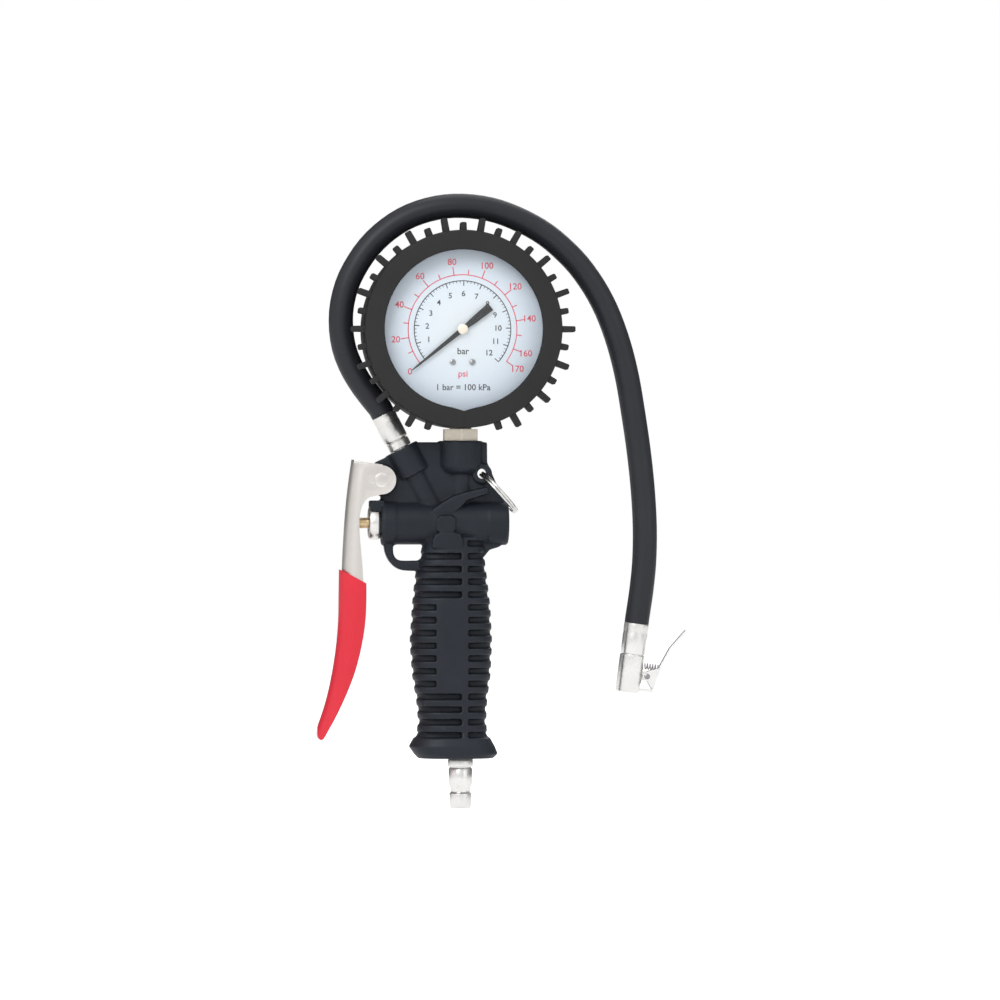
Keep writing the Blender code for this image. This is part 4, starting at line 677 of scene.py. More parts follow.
@dataclass(frozen=True)
class DialFinish(Finish):
    """A printed white face with a painted cool shade that grows towards its rim."""

    centre: tuple[float, float, float] = tuple(GAUGE)
    inner: float = 14.0
    outer: float = 36.0

    def build(self) -> bpy.types.Material:
        """Makes the material's nodes, with the painted cool shade following the distance from the centre."""
        made = super().build()
        nodes = Nodes(made.node_tree)
        shader = made.node_tree.nodes["Principled BSDF"]
        place = nodes.add("TexCoord").outputs["Object"]
        away = nodes.add("VectorMath", {0: place, 1: self.centre}, operation="DISTANCE").outputs["Value"]
        # painted shade: the tone turns cooler from the inner to the outer radius, towards the rim where shade
        # falls; noise makes it uneven
        share = nodes.ranged(away, self.inner * MM, self.outer * MM, 0, 1)
        uneven = nodes.add("TexNoise", {"Vector": place, "Scale": self.coarse, "Detail": 3.0}).outputs[0]
        share = nodes.sum("MULTIPLY", share, nodes.ranged(uneven, 0.3, 0.7, 0.9, 1.05))
        colour = nodes.mixed(share, (*self.tone, 1), (*self.second, 1))
        made.node_tree.links.new(colour, shader.inputs["Base Color"])
        return made


@dataclass(frozen=True)
class LensFinish(Finish):
    """A clear window that lets light fall on what is behind it."""

    def build(self) -> bpy.types.Material:
        """Makes the material's nodes, with shadow rays let through."""
        made = super().build()
        tree = made.node_tree
        nodes = Nodes(tree)
        shader = tree.nodes["Principled BSDF"]
        shader.inputs["Transmission Weight"].default_value = 1.0
        shader.inputs["IOR"].default_value = 1.45
        ray = nodes.add("LightPath")
        through = nodes.sum("MAXIMUM", ray.outputs["Is Shadow Ray"], ray.outputs["Is Diffuse Ray"])
        clear = nodes.add("BsdfTransparent")
        mix = nodes.add("MixShader", {0: through})
        tree.links.new(shader.outputs[0], mix.inputs[1])
        tree.links.new(clear.outputs[0], mix.inputs[2])
        tree.links.new(mix.outputs[0], tree.nodes["Material Output"].inputs["Surface"])
        return made


NICKEL = Finish("nickel_plate", (0.78, 0.775, 0.76), (0.70, 0.69, 0.675), rough=(0.16, 0.26), metallic=1.0,
                coarse=90, fine=2500, fine_share=0.2, relief=0.006, worn=(0.9, 0.89, 0.87), wear=(0.53, 0.6))
NICKEL_SATIN = replace(NICKEL, name="nickel_satin", tone=(0.90, 0.89, 0.87), second=(0.84, 0.83, 0.81),
                       rough=(0.26, 0.34), relief=0.004)
NICKEL_TURNED = replace(NICKEL_SATIN, name="nickel_turned", tone=(0.86, 0.85, 0.83),
                        second=(0.80, 0.79, 0.77), rough=(0.27, 0.35), turned=tuple(OUTLET_AXIS))
NICKEL_CHUCK = replace(NICKEL_SATIN, name="nickel_chuck", turned=tuple(CHUCK_AXIS))
NICKEL_UPRIGHT = replace(NICKEL_SATIN, name="nickel_upright", turned=(0.0, 0.0, 1.0))
NICKEL_ALONG = replace(NICKEL_SATIN, name="nickel_along", rough=(0.28, 0.36), turned=(1.0, 0.0, 0.0))
NICKEL_PRESSED = replace(NICKEL, name="nickel_pressed", tone=(0.95, 0.945, 0.93), second=(0.90, 0.895, 0.88),
                         rough=(0.36, 0.46), worn=(0.97, 0.96, 0.95))
LEVER_PLATE = Finish("lever_plate", (0.78, 0.745, 0.71), (0.72, 0.685, 0.65), rough=(0.30, 0.40),
                     metallic=1.0, coarse=70, fine=1800, fine_share=0.35, relief=0.012,
                     worn=(0.92, 0.91, 0.89))
HEX_BRASS = Finish("hex_brass", (1.0, 0.92, 0.78), (0.97, 0.87, 0.72), rough=(0.40, 0.52), metallic=0.35,
                   coarse=120, fine=2200, fine_share=0.4, relief=0.012, worn=(0.9, 0.84, 0.74))
BRASS = Finish("brass", (0.76, 0.60, 0.36), (0.64, 0.48, 0.27), rough=(0.25, 0.38), metallic=1.0, coarse=150,
               fine=2500, fine_share=0.4, relief=0.01)
ALLOY = Finish("cast_alloy", (0.52, 0.53, 0.55), (0.42, 0.43, 0.45), rough=(0.45, 0.6), metallic=1.0,
               coarse=120, fine_share=0.8, relief=0.06)
STEEL = Finish("screw_steel", (0.40, 0.40, 0.41), (0.30, 0.30, 0.31), rough=(0.3, 0.42), metallic=1.0,
               coarse=200, fine=3000, fine_share=0.3, relief=0.01)
CASE_STEEL = Finish("case_steel", (0.06, 0.062, 0.066), (0.045, 0.046, 0.05), rough=(0.35, 0.5), coarse=80,
                    fine=1800, fine_share=0.4, relief=0.02)
# the nylon carries painted shade in its grooves and inner corners
NYLON = Finish("black_nylon", (0.0155, 0.0205, 0.0290), (0.0105, 0.0140, 0.0200), rough=(0.40, 0.54),
               coarse=45, fine_share=0.9, relief=0.05, worn=(0.036, 0.042, 0.05), wear=(0.515, 0.56),
               dust=0.015, specular=0.27, crevice=0.9)
BOOT_RUBBER = Finish("boot_rubber", (0.0222, 0.0222, 0.0228), (0.0202, 0.0202, 0.0206), rough=(0.66, 0.72),
                     coarse=40, fine=1200, fine_share=0.7, relief=0.02, dust=0.03, specular=0.27)
HOSE_RUBBER = Finish("hose_rubber", (0.0225, 0.0250, 0.0310), (0.0180, 0.0200, 0.0250), rough=(0.34, 0.46),
                     coarse=35, fine=1300, fine_share=0.6, relief=0.04, dust=0.02, specular=0.3)
SEAL_RUBBER = Finish("seal_rubber", (0.02, 0.02, 0.02), (0.014, 0.014, 0.014), rough=(0.5, 0.65), coarse=100,
                     fine=2000, fine_share=0.6)
RED_DIP = Finish("red_dip", (0.74, 0.011, 0.034), (0.66, 0.009, 0.028), rough=(0.24, 0.36), coarse=40,
                 fine=900, relief=0.02, coat=0.25)
# the dial's second tone is the painted cool shade at its rim
DIAL_WHITE = DialFinish("dial_white", (0.78, 0.84, 0.88), (0.76, 0.85, 0.95), coarse=25, fine_share=0.4,
                        relief=0.006)
INK_BLACK = Finish("ink_black", (0.035, 0.037, 0.04), (0.06, 0.06, 0.065), coarse=200, fine=2500,
                   fine_share=0.4, relief=0.004)
INK_RED = replace(INK_BLACK, name="ink_red", tone=(0.80, 0.10, 0.16), second=(0.70, 0.06, 0.11))
POINTER_BLACK = Finish("pointer_black", (0.012, 0.012, 0.013), (0.02, 0.02, 0.021), rough=(0.35, 0.5),
                       coarse=150, fine=2500, fine_share=0.4, relief=0.01)
LENS = LensFinish("clear_lens", (0.98, 0.99, 1.0), (0.97, 0.985, 0.995), rough=(0.02, 0.05), coarse=30,
                  fine=900, fine_share=0.1, relief=0.001)


def dress(obj: bpy.types.Object, finish: Finish, body: str, slot: str,
          *nodes: str) -> bpy.types.Object:
    """Gives a piece its finish and body, and hides the frame nodes it stands for.

    Args:
        obj: The piece.
        finish: Its finish.
        body: The body it moves with.
        slot: The record's material slot; not used.
        *nodes: The nodes it replaces.

    Returns:
        The same piece.
    """
    obj.data.materials.clear()
    obj.data.materials.append(finish.material())
    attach(obj, body)
    if nodes:
        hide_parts(*nodes)
    LOG.info("%s: %s on %s", obj.name, finish.name, body)
    return obj


# Sub-assemblies


@dataclass
class Housing:
    """The two moulded halves that clamp round the valve block and form the grip. Sizes in millimetres."""

    voxel: float = 0.42
    rounds: int = 5
    seam: float = 0.15
    web_front: float = 3.5
    web_back: float = 5.0
    lug_radius: float = 7.0
    grip_low: float = 22.6
    grip_high: float = 122.0
    squareness: float = 2.7
    band_middle: float = 1.0
    band_half: float = 1.4
    panel_left: float = -11.8
    panel_rows: tuple[int, int] = (4, 10)
    groove_height: float = 2.8
    groove_low: float = 33.3
    groove_pitch: float = 5.72
    groove_rows: int = 15
    groove_side: float = 0.7
    groove_face: float = 3.4
    sections: tuple[tuple[float, float, float, float], ...] = (
        (0.0, -19.1, 14.6, 14.0), (0.02, -20.9, 16.7, 15.6), (0.053, -23.2, 15.4, 16.2),
        (0.117, -19.6, 11.9, 14.2), (0.171, -19.1, 11.6, 13.8), (0.262, -19.9, 12.0, 14.0),
        (0.379, -21.8, 13.5, 14.8), (0.524, -22.8, 14.2, 15.4), (0.687, -21.8, 13.4, 15.0),
        (0.823, -20.4, 11.8, 13.8), (0.913, -18.3, 10.7, 12.2), (1.0, -16.2, 10.6, 9.8),
    )
    screws: Profile = ((-11.2, 151.8), (13.4, 142.6), (-13.2, 98.0), (-12.6, 47.0))
    screw_profile: Profile = ((0, 4.8), (1.4, 4.75), (2.3, 4.3), (2.6, 3.8), (2.6, 3.2), (1.3, 3.2),
                              (1.3, -1.6), (0, -2.6))
    screw_room_start: float = 2.9
    screw_room_radius: float = 2.9
    screw_cross: tuple[float, float, float] = (2.6, 1.2, 0.55)
    screw_cross_middle: float = 4.6
    barrel: Profile = ((0, -35.8), (9.5, -35.8), (10.15, -35.2), (10.15, -29.7), (9.75, -29.3), (9.75, 12.0),
                       (10.0, 12.4), (10.0, 20.4), (9.3, 21.4), (0, 21.4))
    boss: Profile = ((0, 165.2), (9.6, 165.2), (10, 164.8), (10, 154.6), (9.6, 153.2), (8.4, 151.6),
                     (7, 150.5), (0, 150.5))
    boss_low: float = 154.0
    boss_rib_radius: float = 5.2
    outlet_boss: tuple[float, float, float] = (17.5, 30.2, 7.8)
    outlet_rib: tuple[float, float, float] = (19.5, 55.1, 5.5)
    ring_boss_radius: float = 4.4
    rib: Profile = ((-13.3, 134.1), (-12.6, 131.6), (-3.6, 133.2), (-0.6, 135.4), (2.6, 138.6),
                    (11.8, 141.6), (11.8, 144.4), (2.6, 142.4), (-3.6, 140.4), (-9.4, 137.0))
    rib_half: float = 9.0
    pad: Profile = ((-11.5, 125.2), (-9.8, 124), (-4.4, 124), (-2.9, 125.6), (-2.9, 130.2), (-4.6, 131.6),
                    (-9.6, 131.6), (-11.5, 130.0))
    pad_half: float = 10.6
    arch: Profile = ((-13.3, 117.0), (0.3, 117.0), (0.3, 120.8), (-0.8, 123.2), (-3.4, 124.2),
                     (-9.2, 124.2), (-12.0, 123.2), (-13.3, 120.8))
    arch_half: float = 11.4
    stop: Profile = ((-41.0, 131.8), (-34.6, 131.8), (-34.6, 138.4), (-41.0, 138.4))
    stop_half: float = 6.0
    guard_half: float = 4.0
    head: Profile = ((-38.2, 155.6), (-34.2, 157.4), (-26.8, 161.2), (-20, 164.6), (11.8, 164.6),
                     (11.9, 155.5), (21.2, 134.0), (20.6, 119.8), (17, 117.4), (13, 116.2), (10.4, 113),
                     (0, 113), (0, 128.3), (-35.8, 128.3), (-35.8, 141.0))
    guard_outer: Profile = ((-34.6, 126), (-34.5, 117.5), (-33.2, 112.8), (-30.4, 109.1), (-26.6, 107.1),
                            (-20, 106.7), (-14, 106.7))
    guard_inner: Profile = ((-14, 111.4), (-20, 111.4), (-26.8, 111.4), (-29.2, 112.4), (-30.4, 114.8),
                            (-30.4, 120), (-30.4, 126))
    bore: tuple[float, float, float] = (-35.6, 18.7, 7.7)
    stem_bore: tuple[float, float, float] = (-40.8, -33.6, 4.6)
    gland_room: tuple[float, float, float] = (-42.8, -36.0, 7.95)
    inlet_bore_radius: float = 6.5
    gauge_bore_radius: float = 4.5
    socket_bore: tuple[float, float, float] = (152.5, 167.0, 7.5)
    fitting_bore: tuple[float, float, float] = (16.4, 28.6, 5.6)
    outlet_bore: tuple[float, float, float] = (28.0, 55.0, 4.1)
    hole_radius: float = 2.3

    def grip_form(self, side_inset: float, face_inset: float, low: float, high: float) -> bmesh.types.BMesh:
        """Lofts the grip between two heights.

        Args:
            side_inset: How far the left and right sides move in, in millimetres.
            face_inset: How far the front and back move in, in millimetres.
            low: Lowest height, in millimetres.
            high: Highest height, in millimetres.

        Returns:
            The closed shape.
        """
        span = self.grip_high - self.grip_low
        heights = [self.grip_low + row[0] * span for row in self.sections]
        levels = [low, *(height for height in heights if low < height < high), high]
        bm = bmesh.new()
        loops = []
        for number, height in enumerate(levels):
            left, right, depth = self.edges_at(height)
            made = bmesh.ops.create_circle(bm, cap_ends=number in (0, len(levels) - 1), segments=64,
                                           radius=1.0)
            for vert in made["verts"]:
                angle = math.atan2(vert.co.y, vert.co.x)
                power = 2 / self.squareness
                x = math.copysign(abs(math.cos(angle)) ** power, math.cos(angle))
                y = math.copysign(abs(math.sin(angle)) ** power, math.sin(angle))
                half = (right - left) / 2 - side_inset
                vert.co = ((left + right) / 2 + x * half, y * (depth - face_inset), height)
            verts = set(made["verts"])
            loops.append([edge for edge in bm.edges if set(edge.verts) <= verts])
        for lower, upper in zip(loops, loops[1:]):
            bmesh.ops.bridge_loops(bm, edges=lower + upper)
        bmesh.ops.scale(bm, vec=(MM, MM, MM), verts=bm.verts[:])
        return tidy(bm)

    def edges_at(self, height: float) -> tuple[float, float, float]:
        """Gives the left edge, right edge and half depth of the grip at a height, in millimetres."""
        span = self.grip_high - self.grip_low
        rows = [(self.grip_low + share * span, *rest) for share, *rest in self.sections]
        height = min(max(height, rows[0][0]), rows[-1][0])
        for low, high in zip(rows, rows[1:]):
            if height <= high[0]:
                share = (height - low[0]) / (high[0] - low[0])
                return tuple(a + (b - a) * share for a, b in zip(low[1:], high[1:]))
        return rows[-1][1:]

    def grooves(self) -> bmesh.types.BMesh:
        """Makes the bars that cut the finger grooves on both sides of the plain band."""
        left_end, right_start = self.band_middle - self.band_half, self.band_middle + self.band_half
        first, last = self.panel_rows
        half = self.groove_height / 2 * MM
        bars = []
        for row in range(self.groove_rows + 1):
            middle = (self.groove_low + row * self.groove_pitch) * MM
            spans = [(right_start * MM, REACH)]
            if row < self.groove_rows:
                stop = self.panel_left if first <= row <= last else left_end
                spans.insert(0, (-REACH, stop * MM))
            bars += [block((low, -REACH, middle - half), (high, REACH, middle + half)) for low, high in spans]
        return gathered(bars)

    def outlet(self, distance: float) -> Vector:
        """Gives the point on the hose outlet's axis that lies a distance in millimetres from its start."""
        return OUTLET_START + distance * MM * OUTLET_AXIS

    def outside(self) -> list[bmesh.types.BMesh]:
        """Makes the solids of the head and of the raised work on its front and back."""
        def raised(outline: Profile, half: float) -> bmesh.types.BMesh:
            return ease(plate(scaled(outline), -half * MM, half * MM), 0.5 * MM)

        middle = BARREL_HEIGHT * Z_AXIS
        lug_centre = (PIVOT.x, PIVOT.z)
        web = scaled(self.head) + arc(lug_centre, self.lug_radius * MM, 250, 120, 24)
        lug = arc(lug_centre, self.lug_radius * MM, 0, 345, 40)
        guard = softened(scaled(self.guard_outer)) + softened(scaled(self.guard_inner))
        return [
            spun(self.barrel, standing(middle, X_AXIS)),
            spun(self.boss, Matrix.Identity(4)),
            *(rod(self.outlet(start), self.outlet(end), radius * MM)
              for start, end, radius in (self.outlet_boss, self.outlet_rib)),
            rod(middle, self.boss_low * MM * Z_AXIS, self.boss_rib_radius * MM),
            plate(web, -self.web_front * MM, self.web_back * MM),
            plate(lug, -self.web_back * MM, self.web_back * MM),
            ease(crossing(RING_HOLE, self.ring_boss_radius * MM, half=self.web_back * MM), 0.6 * MM),
            ease(plate(guard, -self.guard_half * MM, self.guard_half * MM), 1.2 * MM, 4),
            raised(self.rib, self.rib_half),
            raised(self.pad, self.pad_half),
            raised(self.arch, self.arch_half),
            raised(self.stop, self.stop_half),
        ]

    def hollows(self) -> list[bmesh.types.BMesh]:
        """Makes the spaces for the valve block, the gland, the lever pin and the ring."""
        middle = BARREL_HEIGHT * Z_AXIS
        bores = [
            rod(middle + start * MM * X_AXIS, middle + end * MM * X_AXIS, radius * MM, sides)
            for (start, end, radius), sides in ((self.bore, 64), (self.stem_bore, 48), (self.gland_room, 96))]
        low, high, radius = self.socket_bore
        bores += [
            rod(ORIGIN, middle, self.inlet_bore_radius * MM, 48),
            rod(middle, self.boss_low * MM * Z_AXIS, self.gauge_bore_radius * MM, 48),
            rod(low * MM * Z_AXIS, high * MM * Z_AXIS, radius * MM, 64)]
        bores += [
            rod(self.outlet(start), self.outlet(end), radius * MM, sides)
            for (start, end, radius), sides in ((self.fitting_bore, 64), (self.outlet_bore, 48))]
        return bores + [crossing(centre, self.hole_radius * MM) for centre in (PIVOT, RING_HOLE)]

    def form(self) -> bpy.types.Object:
        """Builds both halves as one solid body."""
        grip = as_object("grip_form", self.grip_form(0, 0, self.grip_low, self.grip_high))
        bars = as_object("bars", self.grooves())
        kept = self.grip_form(self.groove_side, self.groove_face, self.grip_low - 1, self.grip_high + 1)
        changed(bars, Cut.AWAY, [kept], "EXACT")
        changed(grip, Cut.AWAY, [lifted(bars)], "EXACT")
        whole = as_object("housing_form", gathered([lifted(grip), *self.outside()]))
        return rounded(whole, self.voxel * MM, self.rounds, math.radians(60))

    def build(self) -> None:
        """Builds and dresses both halves and their screws."""
        form = self.form()
        top = 5 * REACH
        for name, node, low, high in (("housing_front", "shell_front", -REACH, -self.seam * MM),
                                      ("housing_back", "shell_back", self.seam * MM, REACH)):
            half = form.copy()
            half.data = form.data.copy()
            half.name = name
            bpy.context.scene.collection.objects.link(half)
            changed(half, Cut.SHARED, [block((-2 * REACH, low, -REACH), (2 * REACH, high, top))])
            changed(half, Cut.AWAY, self.hollows())
            if node == "shell_back":
                changed(half, Cut.AWAY, [self.screw_space(x, z) for x, z in self.screws])
            LOG.info("%s has %d faces", name, len(half.data.polygons))
            dress(half, NYLON, "gun", "body_nylon", node)
        bpy.data.objects.remove(form, do_unlink=True)
        nodes = ("head_screw_left", "head_screw_right", "grip_screw_upper", "grip_screw_lower")
        for number, ((x, z), node) in enumerate(zip(self.screws, nodes)):
            self.screw(number, x, z, node)

    def screw_space(self, x: float, z: float) -> bmesh.types.BMesh:
        """Makes the sunken hole of a screw at a place in millimetres."""
        start = Vector((x, self.screw_room_start, z)) * MM
        return rod(start, start + REACH * Y_AXIS, self.screw_room_radius * MM, 48)

    def screw(self, number: int, x: float, z: float, node: str) -> None:
        """Builds one cross-head screw in the back half.

        Args:
            number: Which of the four it is, from 0.
            x: Place of its axis, in millimetres.
            z: Height of its axis, in millimetres.
            node: The node it replaces.
        """
        centre = Vector((x, 0, z)) * MM
        obj = as_object(f"housing_screw_{number + 1}", spun(self.screw_profile, standing(centre, Y_AXIS), 40))
        turn = Matrix.Rotation(0.4 + number, 4, "Y")
        place = Matrix.Translation(centre + self.screw_cross_middle * MM * Y_AXIS) @ turn
        bars = []
        for size in (self.screw_cross, tuple(reversed(self.screw_cross))):
            bar = block([-side * MM / 2 for side in size], [side * MM / 2 for side in size])
            bmesh.ops.transform(bar, matrix=place, verts=bar.verts[:])
            bars.append(bar)
        changed(obj, Cut.AWAY, bars, "EXACT")
        dress(obj, STEEL, "gun", "screw_steel", node)


@dataclass
class SqueezeLever:
    """The bent steel lever, its red dipped sleeve and its pin. Sizes in millimetres, from the pivot."""

    half: float = 8.0
    steel: float = 1.5
    ear_radius: float = 6.5
    hole_radius: float = 2.3
    left: Profile = (
        (-13.0, 9.2), (-14.9, -4.6), (-16.2, -18.6), (-17.2, -36.0), (-17.5, -49.6), (-17.8, -64.6),
        (-19.2, -78.6), (-21.6, -92.2), (-24.2, -102.2), (-26.9, -110.0))
    right: Profile = (
        (-25.2, -112.0), (-22.0, -106.2), (-18.8, -99.6), (-15.4, -91.6), (-12.6, -83.6), (-10.2, -73.6),
        (-8.7, -63.6), (-8.2, -53.6), (-8.4, -41.6), (-9.6, -27.6), (-10.0, -18.6), (-9.2, -13.1),
        (-7.0, -9.0), (-4.2, -7.0))
    bend: float = 6.5
    sweep_high: float = 14.0
    sweep_step: float = 3.0
    sweep_low: float = -125.0
    channel_low: float = -108.5
    rounding: float = 0.25
    sleeve_gap: float = 0.3
    sleeve_wall: float = 1.0
    sleeve_top: tuple[Point2, Point2] = ((-53.4, 106.8), (-43.0, 101.3))
    voxel: float = 0.4
    rounds: int = 6
    tip: Profile = ((-28.5, -112.8), (-28.6, -114.6), (-28.1, -116.2), (-27.1, -116.8), (-26.1, -116.2),
                    (-25.2, -114.8))
    flange: Profile = ((-12.4, 9.1), (-12.6, 7.7), (0.4, 5.9), (0.4, 6.9), (-7.6, 8.0))
    flange_half: float = 8.7
    pin: Profile = ((0, 8.55), (2.3, 8.5), (3.2, 8.3), (3.2, 8.1), (2.0, 8.1), (2.0, -8.1), (3.2, -8.1),
                    (3.2, -8.3), (2.3, -8.5), (0, -8.55))

    def placed(self, points: Iterable[Point2]) -> list[Point2]:
        """Turns points from the pivot into x and z in metres."""
        return [(PIVOT.x + x * MM, PIVOT.z + z * MM) for x, z in points]

    def outline(self) -> list[Point2]:
        """Gives the lever's side view, anticlockwise, in metres."""
        left = softened(self.placed(self.left))
        right = softened(self.placed(self.right))
        ear = arc((PIVOT.x, PIVOT.z), self.ear_radius * MM, -90, 90, 24)
        return left + right[:-1] + ear + self.placed([(-8, 7.1)])

    def left_at(self, height: float) -> float:
        """Gives the x of the lever's left edge at a height, both in metres."""
        edge = softened(self.placed(self.left))
        pairs = list(zip(edge, edge[1:]))
        (x1, z1), (x2, z2) = next((pair for pair in pairs if height >= pair[1][1]), pairs[-1])
        return x1 + (x2 - x1) * (height - z1) / (z2 - z1)

    def curved(self, grown: float, low: float) -> bmesh.types.BMesh:
        """Sweeps a long section with two wide bends down the lever's left edge.

        Args:
            grown: How far its left side and its faces lie outside the lever's, in millimetres.
            low: Where the sweep ends below the pivot, in millimetres.

        Returns:
            The closed shape, which reaches far to the right.
        """
        half, radius = self.half + grown, self.bend + grown
        far = REACH / MM
        section = [(far, -half), (far, half)] + arc((radius - grown, half - radius), radius, 90, 180, 8)
        section += arc((radius - grown, radius - half), radius, 180, 270, 8)
        count = math.ceil((self.sweep_high - low - 1) / self.sweep_step)
        levels = [PIVOT.z + (self.sweep_high - self.sweep_step * i) * MM for i in range(count)]
        levels.append(PIVOT.z + low * MM)
        bm = bmesh.new()
        loops = []
        for height in levels:
            left = self.left_at(height)
            verts = [bm.verts.new((left + x * MM, y * MM, height)) for x, y in section]
            loops.append([bm.edges.new(pair) for pair in zip(verts, verts[1:] + verts[:1])])
            if height in (levels[0], levels[-1]):
                bm.faces.new(verts)
        for upper, lower in zip(loops, loops[1:]):
            bmesh.ops.bridge_loops(bm, edges=upper + lower)
        return tidy(bm)

    def bent(self, name: str, outline: Sequence[Point2], grown: float) -> bpy.types.Object:
        """Makes a solid of an outline with wide bends down its left side.

        Args:
            name: The object's name.
            outline: The side view, in metres.
            grown: How far it lies outside the lever, in millimetres.

        Returns:
            The object.
        """
        wide = (self.half + grown + 1) * MM
        return changed(as_object(name, plate(outline, -wide, wide)), Cut.SHARED,
                       [self.curved(grown, self.sweep_low)], "EXACT")

    def above_sleeve(self) -> bmesh.types.BMesh:
        """Makes the space above the slanted line at which the sleeve ends."""
        (x1, z1), (x2, z2) = self.sleeve_top
        slope = (z2 - z1) / (x2 - x1)
        left, right, high = -80.0, 20.0, 300.0
        corners = [(x, z1 + slope * (x - x1)) for x in (left, right)] + [(right, high), (left, high)]
        return plate(scaled(corners), -REACH, REACH)

    def steel_part(self, outline: Sequence[Point2]) -> None:
        """Builds the lever as a channel with two ears.

        Args:
            outline: Its side view, in metres.
        """
        bare = self.bent("bare", outline, 0.0)
        rim = plate(self.placed(self.flange), -self.flange_half * MM, self.flange_half * MM)
        changed(bare, Cut.JOINED, [rim], "EXACT")
        lever = as_object("squeeze_lever", ease(tidy(lifted(bare)), self.rounding * MM, 2, 50))
        hollow = self.curved(-self.steel, self.channel_low)
        changed(lever, Cut.AWAY, [hollow, crossing(PIVOT, self.hole_radius * MM)], "EXACT")
        dress(lever, LEVER_PLATE, "lever", "lever_nickel", "lever")

    def sleeve(self, outline: Sequence[Point2]) -> None:
        """Builds the dipped sleeve round the lever's lower part.

        Args:
            outline: The lever's side view, in metres.
        """
        count = len(softened(self.placed(self.left)))
        grown = self.sleeve_gap + self.sleeve_wall
        around = offset(outline, grown * MM)
        around = around[:count] + self.placed(self.tip) + around[count:]
        sleeve = rounded(self.bent("red_sleeve", around, grown), self.voxel * MM, self.rounds)
        lining = self.bent("lining", offset(outline, self.sleeve_gap * MM), self.sleeve_gap)
        changed(sleeve, Cut.AWAY, [self.above_sleeve(), lifted(lining)], "EXACT")
        dress(sleeve, RED_DIP, "lever", "sleeve_red", "lever_sleeve")

    def build(self) -> None:
        """Builds the lever, the sleeve and the pin."""
        outline = self.outline()
        self.steel_part(outline)
        self.sleeve(outline)
        dress(as_object("pivot_pin", spun(self.pin, standing(PIVOT, Y_AXIS), 48)), LEVER_PLATE, "gun",
              "nickel", "lever_pin")


@dataclass
class Valve:
    """The nickel gland on the barrel's end, the inlet nipple and the valve's spring. Sizes in millimetres."""

    gland: Profile = ((2.75, -41.5), (6.4, -41.5), (7.2, -41.1), (7.6, -40.3), (7.6, -37.4), (7.2, -36.7),
                      (6.6, -36.2), (4.3, -36.2), (4.3, -26.2), (2.75, -26.2))
    nipple: Profile = ((5.7, 21.6), (5.7, 18.9), (4.9, 18.6), (4.95, 18.2), (5.3, 17.6), (5.3, 11.0),
                       (4.6, 9.4), (4.3, 8.2), (4.3, 7.3), (4.6, 7.0), (4.95, 6.6), (4.95, 1.6), (4.4, 0.0),
                       (2.8, 0.0), (2.8, 24.0), (5.2, 24.0), (5.2, 21.6))
    edge: float = 0.12
    spring_ends: tuple[float, float] = (5.71, 13.1)
    spring_radius: float = 3.0
    spring_wire: float = 0.38
    spring_turns: int = 5
    spring_keep: float = 0.47

    def build(self) -> None:
        """Builds the gland, the nipple and the spring."""
        base = BARREL_HEIGHT * Z_AXIS
        gland = spun(self.gland, standing(base, X_AXIS), closed=True, edge=self.edge)
        dress(as_object("gland_nut", gland), NICKEL_ALONG, "gun", "nickel", "valve_gland")
        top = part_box("inlet_nipple")[1].z / MM
        fixed = [(radius, min(height, top)) for radius, height in self.nipple]
        nipple = spun(fixed, Matrix.Identity(4), closed=True, edge=self.edge)
        dress(as_object("inlet_plug", nipple), NICKEL_UPRIGHT, "gun", "nickel", "inlet_nipple")
        start, end = (base + x * MM * X_AXIS for x in self.spring_ends)
        wound = helix(start, end, self.spring_radius * MM, self.spring_turns)
        coil = meshed(strand("valve_coil", wound, self.spring_wire * MM, 3))
        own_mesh(coil)
        dress(coil, STEEL, "gun", "spring_steel", "valve_spring")


@dataclass
class SplitRing:
    """The double-wound hang ring through the right shoulder. Sizes in millimetres."""

    radius: float = 11.5
    wire: float = 0.62
    turns: float = 1.92
    droop: float = 48.0

    def build(self) -> None:
        """Builds the ring as one wound wire."""
        angle = math.radians(self.droop)
        out = Vector((math.cos(angle), 0, -math.sin(angle)))
        axis = out.cross(Y_AXIS)
        middle = RING_HOLE + self.radius * MM * out
        count = 150
        points = []
        for i in range(count + 1):
            turn = self.turns * i / count
            lift = (turn / self.turns - 0.5) * 2
            shift = self.wire * 1.02 * math.copysign(min(1.0, abs(lift) * 5), lift)
            a = math.tau * (turn - self.turns / 2)
            points.append(middle + self.radius * MM * (math.cos(a) * out + math.sin(a) * Y_AXIS)
                          + shift * MM * axis)
        dress(meshed(strand("split_ring", points, self.wire * MM, 4)), NICKEL, "hang_ring", "nickel",
              "hang_ring")


